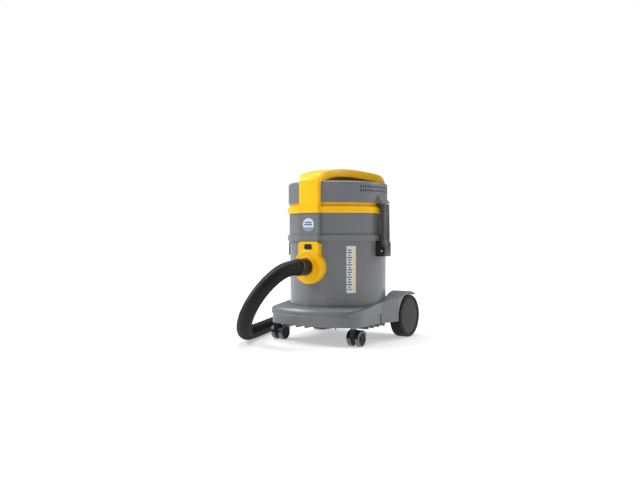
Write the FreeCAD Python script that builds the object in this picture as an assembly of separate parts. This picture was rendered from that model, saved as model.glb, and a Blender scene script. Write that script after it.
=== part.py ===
import FreeCAD, Part
import math
import os

# Shop vacuum on a trolley.  Millimetres, +Z up, front towards -Y.
# The shapes are drawn about the tank's own axis (X = 0, Y = 0, floor at Z = 0).
# On export they move by FRAME_SHIFT, so that the origin is the middle of the
# footprint on the floor.  The hose route is given in that final frame.

# ---------------------------------------------------------------- clearances
RUNNING_GAP = 0.05       # radial, a shaft that turns in its bore
SLIDE_GAP = 0.3          # a part that slides or swings past another
REST_GAP = 0.3           # between faces of two bodies that rest on each other
LOOSE_GAP = 0.6          # a moulding dropped into another moulding

# ---------------------------------------------------------------------- tank
TANK_R = 170.0
WHEEL_R = 76.0
TANK_WALL = 3.0
TANK_FLOOR_Z = WHEEL_R + 19.0
TANK_TOP_Z = 350.0
TANK_EDGE_R = 8.0

# --------------------------------------------------------------- filter ring
FILTER_RING_R = TANK_R + 2.0
FILTER_RING_WALL = 4.0
FILTER_RING_TOP_Z = TANK_TOP_Z + 93.0
RIB_R = FILTER_RING_R + 6.0
RIB_Z0 = TANK_TOP_Z - 3.3
RIB_Z1 = TANK_TOP_Z + 17.0
TANK_SEAL_T = 2.0
TANK_SEAL_W = 3.0
LEDGE_Z = FILTER_RING_TOP_Z - 23.0
LEDGE_T = 4.0
LEDGE_W = 10.0
FILTER_RIM_T = 4.0
FILTER_RIM_W = 14.0
CLOTH_T = 2.0
CLOTH_BOTTOM_Z = LEDGE_Z - 118.0
CLOTH_TAPER = 22.0

# --------------------------------------------------- column up the front face
COLUMN_FACE_Y = -(FILTER_RING_R + 10.0)
COLUMN_FACE_HALF = 38.5
COLUMN_HALF = 42.0
COLUMN_CHAMFER_Y = 7.0
COLUMN_BACK_Y = COLUMN_FACE_Y + 30.0
COLUMN_STEP = 2.5

# ------------------------------------------------------------------ lid ring
LID_R = RIB_R
LID_BAND_Z0 = FILTER_RING_TOP_Z - 2.0
LID_BAND_Z1 = LID_BAND_Z0 + 22.0
LID_LIP = 4.0
LID_NECK_R = LID_R - 10.5
LID_TOP_Z = LID_BAND_Z1 + 13.0
LID_WALL = 4.0
LID_SEAL_T = 2.7
LID_SEAL_W = 5.5
DECK_T = 4.0
WELL_R = 80.0
WELL_WALL = 3.0
WELL_FLOOR_Z = LID_BAND_Z1 - 75.0
WELL_FLOOR_T = 4.0
INTAKE_R = 22.0

# ---------------------------------------------------------------- head cover
COVER_R = LID_R - 2.5
COVER_WALL = 3.0
COVER_TOP_Z = LID_TOP_Z + 72.0
COVER_EDGE_R = 8.0
COVER_FOOT_W = 14.0
COVER_FOOT_T = 3.0
VENT_ROWS_Z = (COVER_TOP_Z - 31.0, COVER_TOP_Z - 18.0)
VENT_H = 7.5
VENT_W = 4.5
VENT_PITCH = 9.5
VENT_START_DEG = 59.0
VENT_END_DEG = 160.0
SCOOP_HALF_X = 62.0
SCOOP_Y0 = -128.0
SCOOP_Y1 = 34.0
SCOOP_DEPTH = 20.0
SCOOP_CORNER_R = 20.0
EAR_HALF_Y = 24.0
EAR_TOP_Z = LID_TOP_Z + 30.0
EAR_BOTTOM_Z = LID_TOP_Z - 1.0
EAR_X = COVER_R + 22.5

# -------------------------------------------------------------------- handle
HANDLE_CROWN_Z = COVER_TOP_Z + 49.0
HANDLE_CROWN_Y = -24.0
HANDLE_ARC_R = 410.0
HANDLE_T = 26.0
HANDLE_FRONT_R = 32.0
HANDLE_WALL = 3.0
HANDLE_REAR_R = COVER_R - COVER_EDGE_R
HANDLE_REAR_HALF = 136.0
HANDLE_BLANK_HALF = COVER_R
HANDLE_SHOULDER_R = 34.0
HANDLE_RIM_H = 2.0
HANDLE_MID_HALF = 62.0
HAND_GAP_Y0 = -140.0
HAND_GAP_Y1 = 72.0
HANDLE_BOSS_R = 6.0
HANDLE_SCREW_REAR = (58.0, 110.0)
HANDLE_SCREW_FRONT = (24.0, COLUMN_FACE_Y + 8.5)

# -------------------------------------------------------------------- switch
SWITCH_Y = 92.0
SWITCH_HALF_X = 11.5
SWITCH_HALF_Y = 15.5
SWITCH_BODY_H = 20.0
SWITCH_BEZEL = 2.5
SWITCH_BEZEL_T = 1.6
ROCKER_HALF_X = 8.0
ROCKER_HALF_Y = 11.3
ROCKER_THROW_DEG = 14.0
ROCKER_PIN_R = 2.0

# --------------------------------------------------------------- cable gland
GLAND_Z = LID_TOP_Z + 24.0
GLAND_R = 9.0
GLAND_FLANGE_R = 13.0
GLAND_BORE_R = 4.5
GLAND_INSIDE = 10.0
GLAND_OUTSIDE = 16.0
GLAND_FLANGE_T = 3.0

# --------------------------------------------------------------------- motor
GASKET_T = 3.0
GASKET_W = 14.0
FAN_R = 70.0
FAN_H = 44.0
FAN_WALL = 2.0
MOTOR_R = 52.0
MOTOR_WALL = 2.5
MOTOR_TOP_Z = WELL_FLOOR_Z + 128.0
STATOR_R_IN = 27.0
STATOR_Z0 = WELL_FLOOR_Z + 64.0
STATOR_Z1 = STATOR_Z0 + 38.0
ARMATURE_R = 25.5
COMMUTATOR_R = 13.0
COMMUTATOR_Z0 = STATOR_Z1 + 4.0
COMMUTATOR_Z1 = COMMUTATOR_Z0 + 10.0
BRUSH_SIZE = 6.0
SHAFT_R = 5.0
SHAFT_Z0 = WELL_FLOOR_Z + 12.0
BEARING_R = 13.0
BEARING_H = 7.0
IMPELLER_R = 62.0
IMPELLER_Z0 = SHAFT_Z0 + 4.0
IMPELLER_H = 18.0
IMPELLER_PLATE = 1.5
IMPELLER_EYE_R = 20.0
IMPELLER_BLADES = 8
CLAMP_T = 3.0
CLAMP_W = 16.0
CLAMP_REACH = 104.0
CLAMP_FOOT = 14.0

# --------------------------------------------------------------------- float
CAGE_R = 36.0
CAGE_WALL = 2.5
CAGE_BOTTOM_Z = WELL_FLOOR_Z - 50.0
CAGE_SLOTS = 8
CAGE_SLOT_W = 12.0
FLOAT_R = 27.0
FLOAT_H = 22.0

# --------------------------------------------------------------------- inlet
INLET_Z = TANK_TOP_Z - 90.0
INLET_HALF = 42.0
INLET_TOP_Z = TANK_TOP_Z - 5.0
INLET_FACE_Y = COLUMN_FACE_Y - 2.0
INLET_TOP_CHAMFER = 8.0
BOSS_R = 58.0
BOSS_FACE_Y = INLET_FACE_Y - 5.0
BOSS_EDGE_R = 6.0
COLLAR_R = 37.0
COLLAR_T = 9.0
COLLAR_EDGE_R = 2.5
PLUG_R = 26.9
INLET_SEAL_T = 4.0
INLET_SEAL_W = 3.0
INLET_SEAL_Y = INLET_FACE_Y + 6.0
INLET_SCREW_XZ = ((33.0, INLET_Z + 40.0), (-33.0, INLET_Z + 40.0),
                  (38.0, INLET_Z - 34.0), (-38.0, INLET_Z - 34.0))
DEFLECTOR_R = 33.0
DEFLECTOR_WALL = 2.5
DEFLECTOR_END_Y = 58.0 - TANK_R
BUTTON_Z = INLET_TOP_Z - 18.0
BUTTON_HALF_X = 14.5
BUTTON_HALF_Z = 9.0
BUTTON_CORNER = 4.0
BUTTON_PROUD = 2.0
BUTTON_T = 8.0
BUTTON_TRAVEL = 3.5
SPRING_R = 4.0
SPRING_WIRE_R = 0.5

# ---------------------------------------------------------------------- hose
HOSE_R = 25.0
HOSE_BORE_R = 22.0
CONNECTOR_R = 28.5
CONNECTOR_BORE_R = 21.0
CONNECTOR_END_Y = BOSS_FACE_Y - 57.0
CONNECTOR_RIBS = 6
CUFF_R = 28.0
CUFF_BORE_R = 19.0
CUFF_BORE_LENGTH = 55.0
CUFF_LENGTH = 88.0
CUFF_GROOVES = 3
CUFF_GROOVE_START = 12.0
CUFF_GROOVE_PITCH = 9.0
CUFF_GROOVE_W = 4.0
CUFF_GROOVE_DEPTH = 2.5

# ------------------------------------------------------------------- latches
LATCH_HALF_Y = 20.0
LATCH_X0 = LID_R + 8.0
LATCH_X1 = LATCH_X0 + 14.0
LATCH_FOOT_X = LATCH_X1 + 4.0
LATCH_BOTTOM_Z = TANK_TOP_Z - 56.0
LATCH_FOOT_Z = LATCH_BOTTOM_Z + 42.0
LATCH_TOP_Z = LID_BAND_Z1 + 9.5
LATCH_PIVOT_X = LATCH_X0 + 6.0
LATCH_PIVOT_Z = LATCH_BOTTOM_Z + 18.0
HOOK_SLOPE = 6.0
HOOK_REACH_X = LID_R - HOOK_SLOPE
PIN_R = 3.0
BRACKET_EAR_T = 3.0
BRACKET_TOP_Z = TANK_TOP_Z - 4.0
BRACKET_BACK_X = TANK_R - 2.0
BRACKET_PLATE_X = TANK_R + 3.5
BRACKET_SCREW_Y = 11.0
BRACKET_SCREW_Z = BRACKET_TOP_Z - 10.0

# ------------------------------------------------------------------- trolley
BASE_HALF = TANK_R + 10.0
BASE_FRONT_Y = -(TANK_R + 42.0)
BASE_REAR_Y = TANK_R + 30.0
BASE_CORNER_R = 70.0
BASE_CORNER_Y = BASE_FRONT_Y + 90.0
BASE_WALL = 4.0
SKIRT_Z = 64.0
CREASE_Z = SKIRT_Z + 34.0
CREASE_STEP = 3.0
SHOULDER_Z = CREASE_Z + 28.0
SHOULDER_R = 25.0
CUP_WALL = 4.0
CUP_FLOOR_T = 4.0
PANEL_FLARE = 3.0
PANEL_INNER = TANK_R - 30.0
PANEL_FRONT_Y = BASE_FRONT_Y + 36.0
PANEL_RAMP_Y = PANEL_FRONT_Y + 16.0
PANEL_RAMP_Z = SHOULDER_Z - 12.0
PANEL_PEAK_Y = BASE_REAR_Y - 119.0
PANEL_PEAK_Z = SHOULDER_Z + 23.0
PANEL_REAR_Y = BASE_REAR_Y - 88.0
FLARE_START_Y = -10.0
FLARE_END_Y = BASE_REAR_Y - 119.0
FLOOR_RIB_T = 4.0
FLOOR_RIB_PITCH = 37.0
FLOOR_RIB_Z = SKIRT_Z - 8.0
FLOOR_RIB_INSET = 10.0
CROSS_RIB_T = 8.0
CROSS_RIB_FIRST_Y = -76.0
CROSS_RIBS = 4
CROSS_RIB_Z = SKIRT_Z - 13.0
WEB_X = (-120.0, -60.0, 0.0, 60.0, 120.0)
WEB_FRONT_Y = TANK_R - 60.0

# --------------------------------------------------------------- rear wheels
WHEEL_W = 44.0
WHEEL_OUTER_X = BASE_HALF + 23.0
WHEEL_Y = BASE_REAR_Y - 35.0
TYRE_T = 10.0
TYRE_EDGE_R = 5.0
RIM_T = 7.0
WHEEL_WEB_T = 5.0
WHEEL_SPOKES = 6
AXLE_R = 6.0
HUB_R = 14.0
HUB_END_X = WHEEL_OUTER_X - 7.0
AXLE_END_X = HUB_END_X + 3.0
CLIP_R = 10.0
CLIP_T = 2.0
CAP_R = WHEEL_R - 13.0
CAP_T = 2.4
CAP_DOT_R = 4.0
FENDER_GAP = 8.0
FENDER_T = 5.0
FENDER_X = WHEEL_OUTER_X - 2.0
FENDER_INNER_X = TANK_R - 36.0
FENDER_WALL = 4.0
FENDER_SIDE_GAP = 4.0
FENDER_END_DEG = 30.0
AXLE_BOSS_R = 13.0

# ------------------------------------------------------------------- casters
CASTER_X = BASE_HALF - 23.0
CASTER_Y = BASE_CORNER_Y - 27.0
CASTER_TRAIL = 18.0
CASTER_WHEEL_R = 25.0
CASTER_WHEEL_W = 14.5
CASTER_HALF_W = 23.0
CASTER_TREAD_T = 4.0
CASTER_TREAD_EDGE_R = 2.0
CASTER_WEB_HALF = 7.6
CASTER_WEB_R = 20.0
CASTER_AXLE_R = 3.0
CASTER_AXLE_HALF = 20.5
CASTER_HOOD_GAP = 1.3
CASTER_HOOD_T = 2.8
CASTER_NECK_R = 10.5
CASTER_NECK_TOP_Z = 60.0
CASTER_STEM_R = 5.5
CASTER_STEM_TOP_Z = 108.0
CASTER_STEM_BOTTOM_Z = 44.0
CASTER_FLANGE_R = 9.0
CASTER_FLANGE_T = 1.7
CASTER_SWEEP_R = 56.0
SOCKET_R = 14.0
SOCKET_Z = CASTER_NECK_TOP_Z + CASTER_FLANGE_T + REST_GAP

# ---------------------------------------------------------- labels and screws
LABEL_T = 0.6
LABEL_CENTRE_DEG = 48.0
LABEL_W = 32.0
LABEL_Z0 = TANK_FLOOR_Z + 78.0
LABEL_Z1 = TANK_TOP_Z - 20.0
LABEL_CORNER = 3.0
BADGE_HALF = 25.0
BADGE_Z0 = RIB_Z1 + 10.0
BADGE_Z1 = BADGE_Z0 + 48.0
SCREW_R = 2.0
SCREW_HEAD_R = 4.2
SCREW_HEAD_T = 2.6
SCREW_HOLE_R = 2.2
SCREW_GRIP = 8.0
FLOOR_SCREW_BITE = TANK_WALL - 0.6
INLET_SCREW_BITE_Y = INLET_FACE_Y + 14.0

TANK_SCREW_OFFSET = TANK_R - 77.5
TANK_SCREWS = [(x, y) for x in (-TANK_SCREW_OFFSET, TANK_SCREW_OFFSET)
               for y in (-TANK_SCREW_OFFSET, TANK_SCREW_OFFSET)]
COVER_SCREW_R = LID_NECK_R - LID_WALL / 2
COVER_SCREW_DEG = (30.0, 150.0, 215.0, 325.0)
COVER_SCREWS = [(COVER_SCREW_R * math.cos(math.radians(angle)),
                 COVER_SCREW_R * math.sin(math.radians(angle)))
                for angle in COVER_SCREW_DEG]
CLAMP_SCREW_INSET = 7.0
CLAMP_SCREWS = [(CLAMP_REACH - CLAMP_SCREW_INSET, 0.0), (CLAMP_SCREW_INSET - CLAMP_REACH, 0.0)]
BUTTON_BACK_Y = INLET_FACE_Y - BUTTON_PROUD + BUTTON_T
POCKET_BACK_Y = BUTTON_BACK_Y + BUTTON_TRAVEL + 2 * SPRING_WIRE_R + SLIDE_GAP

# The footprint runs from the front of the trolley to the back of the wheels.
FRAME_SHIFT = -(BASE_FRONT_Y + WHEEL_Y + WHEEL_R) / 2

# Hose centre line, in the final frame: out of the inlet, down to the floor,
# back past the left side, and across behind the trolley.
HOSE_ROUTE = [
    (0, CONNECTOR_END_Y + FRAME_SHIFT, INLET_Z),
    (0, -314, INLET_Z),
    (-21, -366, 228),
    (-60, -393, 174),
    (-107, -387, 114),
    (-156, -347, 61),
    (-203, -280, 31),
    (-239, -199, 25.5),
    (-272, -108, 25.5),
    (-314, -4, 25.5),
    (-356, 112, 25.5),
    (-402, 226, 25.5),
    (-441, 347, 25.5),
    (-432, 477, 25.5),
    (-371, 592, 25.5),
    (-270, 674, 28.3),
    (-186, 706, 28.3),
]

X_AXIS = FreeCAD.Vector(1, 0, 0)
Y_AXIS = FreeCAD.Vector(0, 1, 0)
Z_AXIS = FreeCAD.Vector(0, 0, 1)
CENTRE = FreeCAD.Vector(0, 0, 0)


# ------------------------------------------------------------------- helpers
def box(x0, x1, y0, y1, z0, z1):
    """Block between two corners."""
    return Part.makeBox(x1 - x0, y1 - y0, z1 - z0, FreeCAD.Vector(x0, y0, z0))


def rod(radius, start, axis, length):
    """Round bar from a start point along an axis."""
    return Part.makeCylinder(radius, length, FreeCAD.Vector(*start), axis)


def disc(radius, z0, z1, x=0.0, y=0.0):
    """Upright cylinder between two heights."""
    return rod(radius, (x, y, z0), Z_AXIS, z1 - z0)


def ring(outer, inner, z0, z1):
    """Upright tube about the tank's axis."""
    return disc(outer, z0, z1).cut(disc(inner, z0, z1))


def tube_along(axis, outer, inner, start, length):
    """Tube along any axis from a start point."""
    return rod(outer, start, axis, length).cut(rod(inner, start, axis, length))


def closed_face(points):
    """Flat face inside a closed run of points."""
    corners = [FreeCAD.Vector(*point) for point in points]
    return Part.Face(Part.makePolygon(corners + corners[:1]))


def turned(profile):
    """Solid turned about Z from (radius, height) points."""
    return closed_face([(r, 0, z) for r, z in profile]).revolve(CENTRE, Z_AXIS, 360)


def plan_prism(points, z0, z1):
    """Outline in plan, raised between two heights."""
    return closed_face([(x, y, z0) for x, y in points]).extrude(Z_AXIS * (z1 - z0))


def side_prism(points, x0, x1):
    """Outline in the (Y, Z) plane, drawn out between two X values."""
    return closed_face([(x0, y, z) for y, z in points]).extrude(X_AXIS * (x1 - x0))


def front_prism(points, y0, y1):
    """Outline in the (X, Z) plane, drawn out between two Y values."""
    return closed_face([(x, y0, z) for x, z in points]).extrude(Y_AXIS * (y1 - y0))


def mirrored(shape):
    """The same shape on the other side of the X = 0 plane."""
    return shape.mirror(CENTRE, X_AXIS)


def on_x_axis(shape, x, y, z):
    """Lay a shape made about Z along +X, with its base at a point."""
    laid = shape.copy()
    laid.rotate(CENTRE, Y_AXIS, 90)
    laid.translate(FreeCAD.Vector(x, y, z))
    return laid


def spun(shape, degrees):
    """A copy turned about the tank's axis."""
    copy = shape.copy()
    copy.rotate(CENTRE, Z_AXIS, degrees)
    return copy


def rounded(shape, radius, wanted):
    """Fillet the edges for which wanted(edge) is true."""
    return shape.makeFillet(radius, [edge for edge in shape.Edges if wanted(edge)])


def flat_at(edge, z):
    """True for an edge that lies wholly at one height."""
    return all(abs(vertex.Z - z) < 1e-6 for vertex in edge.Vertexes)


def join(shapes):
    """One solid from shapes that overlap or touch."""
    first = shapes[0]
    return first.multiFuse(shapes[1:]).removeSplitter()


def save(name, shape, shift=True):
    """Write one node, moved to the final frame."""
    placed = shape.copy()
    if shift:
        placed.translate(FreeCAD.Vector(0, FRAME_SHIFT, 0))
    placed.exportStep("parts/" + name + ".step")


def screw(x, y, z, axis, length):
    """Pan head screw: the head's seat is at the point, the shank goes along axis."""
    seat = FreeCAD.Vector(x, y, z)
    head = Part.makeCylinder(SCREW_HEAD_R, SCREW_HEAD_T, seat - axis * SCREW_HEAD_T, axis)
    shank = Part.makeCylinder(SCREW_R, length, seat, axis)
    slot = box(-SCREW_HEAD_R, SCREW_HEAD_R, -0.5, 0.5, 0, 1.2)
    slot.Placement = FreeCAD.Placement(
        seat - axis * SCREW_HEAD_T, FreeCAD.Rotation(Z_AXIS, axis))
    return head.fuse(shank).cut(slot).removeSplitter()


# ------------------------------------------------------------------- trolley
def base_outline(inset):
    """Plan of the trolley: round front corners joined by one long front arc."""
    half = BASE_HALF - inset
    front = BASE_FRONT_Y + inset
    rear = BASE_REAR_Y - inset
    corner = BASE_CORNER_R - inset
    corner_x = BASE_HALF - BASE_CORNER_R
    drop = BASE_CORNER_Y - BASE_CORNER_R - BASE_FRONT_Y
    bow_r = (corner_x ** 2 + drop ** 2) / (2 * drop) + BASE_CORNER_R
    bow_y = BASE_FRONT_Y + bow_r
    reach = math.hypot(corner_x, BASE_CORNER_Y - bow_y)
    ux = corner_x / reach
    uy = (BASE_CORNER_Y - bow_y) / reach
    touch = FreeCAD.Vector(corner_x + corner * ux, BASE_CORNER_Y + corner * uy, 0)
    turn = math.radians(45) - math.atan2(ux, -uy) / 2
    mid = FreeCAD.Vector(
        corner_x + corner * math.cos(turn), BASE_CORNER_Y - corner * math.sin(turn), 0)
    side = FreeCAD.Vector(half, BASE_CORNER_Y, 0)
    nose = FreeCAD.Vector(0, front, 0)
    back = FreeCAD.Vector(half, rear, 0)

    def other(point):
        return FreeCAD.Vector(-point.x, point.y, point.z)

    edges = [
        Part.Arc(other(touch), nose, touch).toShape(),
        Part.Arc(touch, mid, side).toShape(),
        Part.LineSegment(side, back).toShape(),
        Part.LineSegment(back, other(back)).toShape(),
        Part.LineSegment(other(back), other(side)).toShape(),
        Part.Arc(other(side), other(mid), other(touch)).toShape(),
    ]
    return Part.Face(Part.Wire(edges))


def base_block(inset, z0, z1):
    """The trolley's plan raised between two heights."""
    face = base_outline(inset)
    face.translate(Z_AXIS * z0)
    return face.extrude(Z_AXIS * (z1 - z0))


def side_panel(inset):
    """Flank that rises from the front corner to the rear wheel, on the +X side."""
    outline = [
        (PANEL_FRONT_Y + inset, CREASE_Z - 1),
        (PANEL_FRONT_Y + inset, CREASE_Z + CREASE_STEP),
        (PANEL_RAMP_Y + inset, PANEL_RAMP_Z - inset),
        (PANEL_PEAK_Y, PANEL_PEAK_Z - inset),
        (PANEL_REAR_Y, PANEL_PEAK_Z - inset),
        (PANEL_REAR_Y, CREASE_Z - 1),
    ]
    prism = side_prism(outline, PANEL_INNER + inset, BASE_HALF + PANEL_FLARE)
    return prism.common(base_block(inset - PANEL_FLARE, CREASE_Z - 1, PANEL_PEAK_Z + 1))


def side_flare(inset):
    """Part of the flank that widens towards the wheel, down to the skirt's edge."""
    half = BASE_HALF + PANEL_FLARE - inset
    plan = [
        (PANEL_INNER + inset, FLARE_START_Y), (half, FLARE_START_Y),
        (FENDER_X - inset, FLARE_END_Y), (FENDER_X - inset, PANEL_REAR_Y),
        (PANEL_INNER + inset, PANEL_REAR_Y),
    ]
    slope = (PANEL_PEAK_Z - PANEL_RAMP_Z) / (PANEL_PEAK_Y - PANEL_RAMP_Y)
    start_z = PANEL_RAMP_Z + slope * (FLARE_START_Y - PANEL_RAMP_Y)
    outline = [
        (FLARE_START_Y, SKIRT_Z), (FLARE_START_Y, start_z - inset),
        (PANEL_PEAK_Y, PANEL_PEAK_Z - inset), (PANEL_REAR_Y, PANEL_PEAK_Z - inset),
        (PANEL_REAR_Y, SKIRT_Z),
    ]
    prism = plan_prism(plan, SKIRT_Z, PANEL_PEAK_Z)
    return prism.common(side_prism(outline, PANEL_INNER, FENDER_X))


def fender(outer, x0, x1):
    """Disc about the wheel's axle, cut away behind and below, on the +X side."""
    drum = rod(outer, (x0, WHEEL_Y, WHEEL_R), X_AXIS, x1 - x0)
    far = 2 * outer
    end = math.radians(FENDER_END_DEG)
    behind = [
        (WHEEL_Y, WHEEL_R),
        (WHEEL_Y + far * math.sin(end), WHEEL_R + far * math.cos(end)),
        (WHEEL_Y + far, -far),
        (WHEEL_Y, -far),
    ]
    below = box(x0, x1, WHEEL_Y - far, WHEEL_Y + far, -far, SKIRT_Z)
    return drum.cut(side_prism(behind, x0, x1)).cut(below)


def floor_ribs():
    """Stiffening ribs both ways under the trolley's floor."""
    inside = base_block(FLOOR_RIB_INSET, CROSS_RIB_Z, TANK_FLOOR_Z - CUP_FLOOR_T)
    count = int((BASE_HALF - FLOOR_RIB_INSET) / FLOOR_RIB_PITCH)
    plates = []
    for step in range(-count, count + 1):
        x = step * FLOOR_RIB_PITCH
        plate = box(x - FLOOR_RIB_T / 2, x + FLOOR_RIB_T / 2, BASE_FRONT_Y, BASE_REAR_Y,
                    FLOOR_RIB_Z, TANK_FLOOR_Z - CUP_FLOOR_T)
        plates.append(rounded(plate, FLOOR_RIB_T * 0.45, lambda edge: flat_at(edge, FLOOR_RIB_Z)))
    for step in range(CROSS_RIBS):
        y = CROSS_RIB_FIRST_Y + step * FLOOR_RIB_PITCH
        plates.append(box(-BASE_HALF, BASE_HALF, y - CROSS_RIB_T / 2, y + CROSS_RIB_T / 2,
                          CROSS_RIB_Z, TANK_FLOOR_Z - CUP_FLOOR_T))
    return [plate.common(inside) for plate in plates]


def base_trolley():
    """Moulded trolley: skirt, tank cup, fenders, caster sockets and axle tube."""
    wheel_inner_x = WHEEL_OUTER_X - WHEEL_W
    well_x = wheel_inner_x - FENDER_SIDE_GAP
    fender_r = WHEEL_R + FENDER_GAP + FENDER_T
    upper = base_block(CREASE_STEP, SKIRT_Z, SHOULDER_Z)
    upper = rounded(upper, SHOULDER_R, lambda edge: flat_at(edge, SHOULDER_Z))
    skirt = base_block(0, SKIRT_Z, CREASE_Z)
    skirt = rounded(skirt, CREASE_STEP * 0.8, lambda edge: flat_at(edge, CREASE_Z))
    panel = side_panel(0)
    flare = side_flare(0)
    arch = fender(fender_r, FENDER_INNER_X, FENDER_X)
    shell = join([upper, skirt, panel, mirrored(panel), flare, mirrored(flare),
                  arch, mirrored(arch)])

    cavity = base_block(CREASE_STEP + BASE_WALL, SKIRT_Z - 1, SHOULDER_Z - BASE_WALL)
    cavity = rounded(cavity, SHOULDER_R - BASE_WALL,
                     lambda edge: flat_at(edge, SHOULDER_Z - BASE_WALL))
    hollow = side_panel(BASE_WALL).fuse(side_flare(BASE_WALL))
    cavity = join([cavity, hollow, mirrored(hollow)])
    inside = fender(fender_r - FENDER_WALL, FENDER_INNER_X + FENDER_WALL, well_x - FENDER_WALL)
    solid = arch.cut(inside.cut(box(0, FENDER_X, WHEEL_Y - HUB_R, BASE_REAR_Y, 0, PANEL_PEAK_Z)))
    cavity = cavity.cut(solid).cut(mirrored(solid))
    shell = shell.cut(cavity)

    cup_r = TANK_R + LOOSE_GAP
    cup_z = TANK_FLOOR_Z - CUP_FLOOR_T
    cup = disc(cup_r + CUP_WALL, cup_z, SHOULDER_Z)
    axle_tube = rod(AXLE_BOSS_R, (-well_x, WHEEL_Y, WHEEL_R), X_AXIS, 2 * well_x)
    boss_x = wheel_inner_x - REST_GAP
    stub = rod(AXLE_BOSS_R, (-boss_x, WHEEL_Y, WHEEL_R), X_AXIS, 2 * boss_x)
    webs = [box(x - FLOOR_RIB_T / 2, x + FLOOR_RIB_T / 2, WEB_FRONT_Y, BASE_REAR_Y - BASE_WALL,
                SKIRT_Z, SHOULDER_Z - BASE_WALL) for x in WEB_X]
    sockets = [disc(SOCKET_R, SOCKET_Z, SHOULDER_Z - BASE_WALL - 6, side * CASTER_X, CASTER_Y)
               for side in (-1, 1)]
    shell = join([shell, cup, axle_tube, stub] + webs + sockets + floor_ribs())

    well = rod(WHEEL_R + FENDER_GAP, (well_x, WHEEL_Y, WHEEL_R), X_AXIS, FENDER_X)
    boss_ring = rod(AXLE_BOSS_R, (well_x, WHEEL_Y, WHEEL_R), X_AXIS, boss_x - well_x)
    well = well.cut(boss_ring)
    cuts = [disc(cup_r, TANK_FLOOR_Z, PANEL_PEAK_Z + 1), well, mirrored(well)]
    cuts.append(rod(AXLE_R, (-boss_x, WHEEL_Y, WHEEL_R), X_AXIS, 2 * boss_x))
    for side in (-1, 1):
        cuts.append(disc(CASTER_STEM_R + RUNNING_GAP, SKIRT_Z - 10,
                         CASTER_STEM_TOP_Z + SLIDE_GAP, side * CASTER_X, CASTER_Y))
        cuts.append(disc(CASTER_SWEEP_R, CROSS_RIB_Z - 1, SKIRT_Z, side * CASTER_X, CASTER_Y).cut(
            disc(SOCKET_R, SOCKET_Z, SKIRT_Z, side * CASTER_X, CASTER_Y)))
    for x, y in TANK_SCREWS:
        cuts.append(disc(SCREW_HOLE_R, cup_z - 1, TANK_FLOOR_Z + 1, x, y))
        cuts.append(disc(SCREW_HEAD_R + 2, SKIRT_Z - 10, cup_z, x, y))
    return shell.cut(cuts)


# --------------------------------------------------------------- rear wheels
def wheel_parts():
    """Hub, tyre and cap of the right rear wheel."""
    inner_x = WHEEL_OUTER_X - WHEEL_W
    rim_r = WHEEL_R - TYRE_T
    rim_z1 = WHEEL_W - CAP_T - 0.6
    rim = ring(rim_r, rim_r - RIM_T, 1.0, rim_z1)
    web = disc(rim_r - 1, WHEEL_W * 0.4, WHEEL_W * 0.4 + WHEEL_WEB_T)
    barrel = disc(HUB_R, 0, HUB_END_X - inner_x)
    spokes = []
    for step in range(WHEEL_SPOKES):
        rib = box(0, rim_r - 1, -2, 2, WHEEL_W * 0.15, HUB_END_X - inner_x - 4)
        spokes.append(spun(rib, 360 / WHEEL_SPOKES * step))
    hub = join([rim, web, barrel] + spokes).cut(disc(AXLE_R + RUNNING_GAP, -1, WHEEL_W))
    corner = TYRE_EDGE_R
    tyre = rounded(ring(WHEEL_R, rim_r, 0, WHEEL_W), corner,
                   lambda edge: abs(edge.BoundBox.XMax - WHEEL_R) < 1e-3
                   and (flat_at(edge, 0) or flat_at(edge, WHEEL_W)))
    cap = disc(CAP_R, rim_z1, rim_z1 + CAP_T)
    cap = rounded(cap, CAP_T * 0.4, lambda edge: flat_at(edge, rim_z1 + CAP_T))
    cap = cap.cut(disc(CAP_DOT_R, rim_z1 + CAP_T - 1.2, rim_z1 + CAP_T + 1))
    lip = ring(rim_r - RIM_T - 0.2, rim_r - RIM_T - 2.2, rim_z1 - 4, rim_z1)
    cap = cap.fuse(lip).removeSplitter()
    return [on_x_axis(shape, inner_x, WHEEL_Y, WHEEL_R) for shape in (hub, tyre, cap)]


def axle_clip():
    """Push-on nut that keeps the right wheel on the axle."""
    start = (HUB_END_X + REST_GAP, WHEEL_Y, WHEEL_R)
    return tube_along(X_AXIS, CLIP_R, AXLE_R, start, CLIP_T)


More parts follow.
